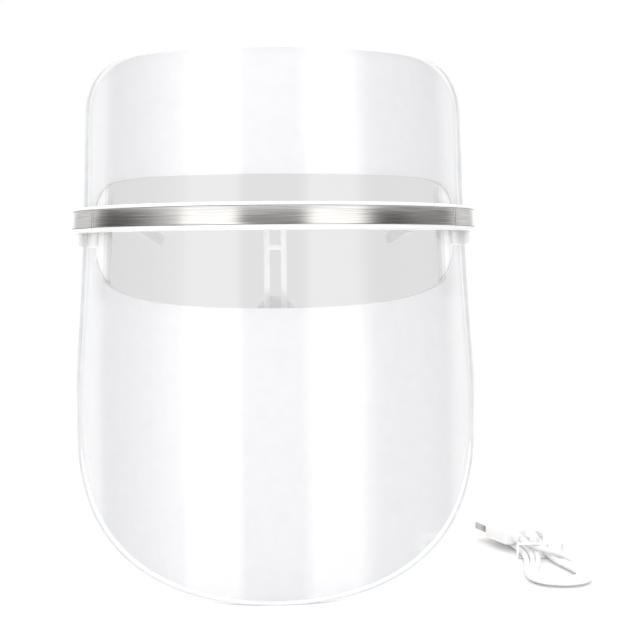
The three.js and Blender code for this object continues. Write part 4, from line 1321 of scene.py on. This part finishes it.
@dataclass
class ChargingLead:
    """The loose charging lead: a tied hank with a plug on each end of its cord.

    Its own X runs across, Y along the hank and Z up from the floor, in millimetres.
    """

    place: Point = (149.0, 35.0, -193.5)
    diameter: float = 3.0
    hank_half: float = 46.0
    hank_bulge: float = 25.0
    hank_start: float = 2.2
    hank_pitch: float = 3.6
    hank_turns: float = 2.3
    points_a_turn: int = 20
    strand_height: float = 2.65
    smooth_steps: int = 5
    device_tail: tuple[Point, ...] = ((0.8, 17.2, 3.3), (0.4, 12.0, 3.1), (-1.2, 5.0, 2.8))
    power_tail: tuple[Point, ...] = (
        (14.6, -26.2, 2.8), (13.1, -21.6, 4.2), (10.6, -17.0, 5.6), (7.0, -12.2, 6.0),
        (3.2, -7.4, 6.0), (-0.3, -2.6, 6.0), (-3.0, 1.4, 6.0), (-5.0, 3.9, 6.5),
        (-7.0, 6.1, 7.7), (-8.7, 8.25, 8.5))

    def at(self, point: Sequence[float]) -> Vector:
        """A point of the lead's own, in metres in the frame."""
        return (Vector(self.place) + Vector(point)) * MM

    def turns(self) -> list[Point]:
        """The wound strands, side by side on the floor, from the first to the last."""
        count = round(self.points_a_turn * (self.hank_turns + 0.1))
        made = []
        for i in range(count + 1):
            share = (self.hank_turns + 0.1) * i / count
            out = self.hank_start + self.hank_pitch * share
            angle = math.pi + math.tau * share
            x = math.cos(angle) * (out + self.hank_bulge * math.sin(angle) ** 2)
            made.append((x, math.sin(angle) * (self.hank_half + out), self.strand_height))
        return made

    def route(self) -> list[Vector]:
        """The cord's middle line from one plug to the other, as a smooth run of points."""
        marks = [self.at(p) for p in (*self.device_tail, *self.turns(), *self.power_tail)]
        marks = [marks[0] * 2 - marks[1], *marks, marks[-1] * 2 - marks[-2]]
        run = []
        for a, b, c, d in zip(marks, marks[1:], marks[2:], marks[3:]):
            for k in range(self.smooth_steps):
                u = k / self.smooth_steps
                run.append(0.5 * (
                    2 * b + (c - a) * u + (2 * a - 5 * b + 4 * c - d) * u**2
                    + (3 * b - a - 3 * c + d) * u**3))
        return run + [marks[-2]]

    def cord(self) -> bpy.types.Object:
        """Builds the cord as a curve of one open line."""
        run = self.route()
        curve = bpy.data.curves.new("lead_cord", "CURVE")
        curve.dimensions = "3D"
        curve.bevel_depth = self.diameter / 2 * MM
        curve.bevel_resolution = 4
        curve.use_fill_caps = True
        line = curve.splines.new("POLY")
        line.points.add(len(run) - 1)
        for point, place in zip(line.points, run):
            point.co = (*place, 1)
        line.use_smooth = True
        made = bpy.data.objects.new("lead_cord", curve)
        bpy.context.scene.collection.objects.link(made)
        curve.materials.append(CORD_PVC.build())
        return made

    def build(self) -> None:
        """Builds the cord, its tie and both plugs."""
        body = "charging_lead"
        rows = (
            ("lead_tie", "hank_tie", CORD_PVC, "cord_pvc", 0.35, 3),
            ("power_plug_grip", "power_grip", GLOSS_WHITE, "gloss_white_abs", 0.6, 3),
            ("power_plug_shell", "power_shell", WARM_REFLECTION_STEEL, "port_steel", 0.1, 2),
            ("power_plug_tongue", "power_tongue", MATT_WHITE, "gloss_white_abs", 0.1, 2),
            ("device_plug_grip", "device_grip", GLOSS_WHITE, "gloss_white_abs", 0.6, 3),
            ("device_plug_shell", "device_shell", WARM_REFLECTION_STEEL, "port_steel", 0.1, 2),
        )
        pieces = [refined(node, name, finish, body, width, segments)
                  for node, name, finish, slot, width, segments in rows]
        cord = self.cord()
        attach(cord, body)
        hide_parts("lead_hank", "lead_tail")


# ---- The studio ----


@dataclass
class Studio:
    """A pale floor, soft light all round and the camera."""

    floor_height: float = -0.1936
    floor_radius: float = 0.45  # small, so that the steel strip mirrors the lamps and not the floor
    camera_place: Point = (0.0, -0.577, -0.0176)
    lens: float = 61.9
    yaw: float = -2.3  # degrees, to the right
    pitch: float = -3.63  # degrees, down
    roll: float = -0.45  # degrees, clockwise
    # The light round the horizon as (degrees from the front, strength), left side first. Two tall
    # lamps stand at the front, the room is dark beside them and white behind the mask.
    horizon: list[tuple[float, float]] = field(default_factory=lambda: [
        (-180, 1.9), (-165, 1.6), (-146, 0.85), (-128, 1.05), (-118, 1.0), (-112, 0.4),
        (-102, 0.15), (-86, 0.2), (-74, 0.4), (-62, 0.85), (-54, 1.2), (-49, 2.1), (-22, 2.1),
        (-17, 0.5), (13, 0.45), (17, 1.1), (21, 2.1), (46, 2.0), (50, 1.2), (56, 0.35),
        (62, 0.16), (72, 0.18), (84, 0.35), (110, 0.4), (120, 0.9), (128, 1.05), (146, 0.85),
        (165, 1.6), (180, 1.9)])
    overhead: float = 1.5
    overhead_from: tuple[float, float] = (0.2, 0.45)  # sines of the heights between which it starts
    snoot_place: Point = (0.0, -0.36, -0.15)
    snoot_aim: Point = (0.0, 0.0, -0.03)
    snoot_width: float = 0.1
    snoot_power: float = 0.7

    def camera(self) -> None:
        """Adds the camera, aimed past the mask's middle so that its lens needs no shift."""
        data = bpy.data.cameras.new("camera")
        data.lens = self.lens
        data.clip_end = 100
        made = bpy.data.objects.new("camera", data)
        aim = (Matrix.Rotation(math.radians(self.yaw), 4, "Z")
               @ Matrix.Rotation(math.radians(90 + self.pitch), 4, "X")
               @ Matrix.Rotation(math.radians(self.roll), 4, "Z"))
        made.matrix_world = Matrix.Translation(self.camera_place) @ aim
        bpy.context.scene.collection.objects.link(made)
        bpy.context.scene.camera = made

    def floor(self) -> None:
        """Adds the floor, a round pale board."""
        turns = [k * math.tau / 96 for k in range(96)]
        radius, height = self.floor_radius, self.floor_height
        points = [(radius * math.cos(a), radius * math.sin(a), height) for a in turns]
        made = new_object("floor", points, [list(range(96))], smooth=False)
        made.data.materials.append(MouldedPlastic(
            "pale floor board", "#fafafa", "#f6f6f6", (0.7, 0.8), 3.0, 0.0).build())
        made.visible_glossy = False  # the mask mirrors the lamps and not the floor's edge

    def snoot(self) -> None:
        """Adds a small lamp, low at the front, that lights only the nose rest and its bracket."""
        data = bpy.data.lights.new("nose_lamp", "AREA")
        data.shape, data.size, data.energy = "DISK", self.snoot_width, self.snoot_power
        made = bpy.data.objects.new("nose_lamp", data)
        place, aim = Vector(self.snoot_place), Vector(self.snoot_aim)
        made.matrix_world = (Matrix.Translation(place)
                             @ (aim - place).to_track_quat("-Z", "Y").to_matrix().to_4x4())
        bpy.context.scene.collection.objects.link(made)
        lit = bpy.data.collections.new("nose_lamp_lights")
        for name in ("nose_rails", "pad_slider", "nose_saddle"):
            lit.objects.link(bpy.data.objects[name])
        made.light_linking.receiver_collection = lit

    def world(self) -> None:
        """Lights the scene from all round: tall lamps front left and right, dark flags beside."""
        world = bpy.data.worlds.new("studio light")
        world.use_nodes = True
        tree = world.node_tree
        tree.nodes.clear()
        way = add_node(tree, "ShaderNodeTexCoord").outputs["Generated"]
        parts = add_node(tree, "ShaderNodeSeparateXYZ", {0: way})
        front = calculate(tree, "MULTIPLY", parts.outputs[1], -1.0)
        angle = calculate(tree, "ARCTAN2", parts.outputs[0], front)
        share = calculate(tree, "MULTIPLY_ADD", angle, 1 / math.tau, 0.5)
        ramp = add_node(tree, "ShaderNodeValToRGB", {0: share})
        strongest = max(strength for _, strength in self.horizon)
        elements = ramp.color_ramp.elements
        stops = [(degrees / 360 + 0.5, (strength / strongest,) * 3 + (1,))
                 for degrees, strength in self.horizon]
        for element, (place, tone) in zip(elements, (stops[0], stops[-1])):
            element.position, element.color = place, tone
        for place, tone in stops[1:-1]:
            elements.new(place).color = tone
        scaled = calculate(tree, "MULTIPLY", ramp.outputs[0], strongest)
        low, high = self.overhead_from
        up = add_node(tree, "ShaderNodeMapRange", {
            "Value": parts.outputs[2], "From Min": low, "From Max": high,
        }, interpolation_type="SMOOTHSTEP")
        light = add_node(tree, "ShaderNodeMix", {
            0: up.outputs[0], 2: scaled, 3: self.overhead}, data_type="FLOAT")
        seen = add_node(tree, "ShaderNodeLightPath").outputs["Is Camera Ray"]
        value = add_node(tree, "ShaderNodeMix", {0: seen, 2: light.outputs[0], 3: 1.0},
                         data_type="FLOAT")
        shone = add_node(tree, "ShaderNodeBackground", {
            "Color": (1, 1, 1, 1), "Strength": value.outputs[0]})
        add_node(tree, "ShaderNodeOutputWorld", {"Surface": shone.outputs[0]})
        bpy.context.scene.world = world

    def build(self) -> None:
        """Builds the studio."""
        self.camera()
        self.floor()
        self.world()
        self.snoot()
        bpy.context.scene.view_settings.view_transform = "Standard"


def main() -> None:
    """Builds the studio and the mask."""
    logging.basicConfig(level=logging.INFO, format="%(name)s %(message)s")
    Visor().build()
    BrowBar().build()
    LampCarrier().build()
    EndBlocks().build()
    for side in (1, -1):
        Temple(side).build()
    NoseRest().build()
    ChargingLead().build()
    Studio().build()


if __name__ == "__main__":
    main()
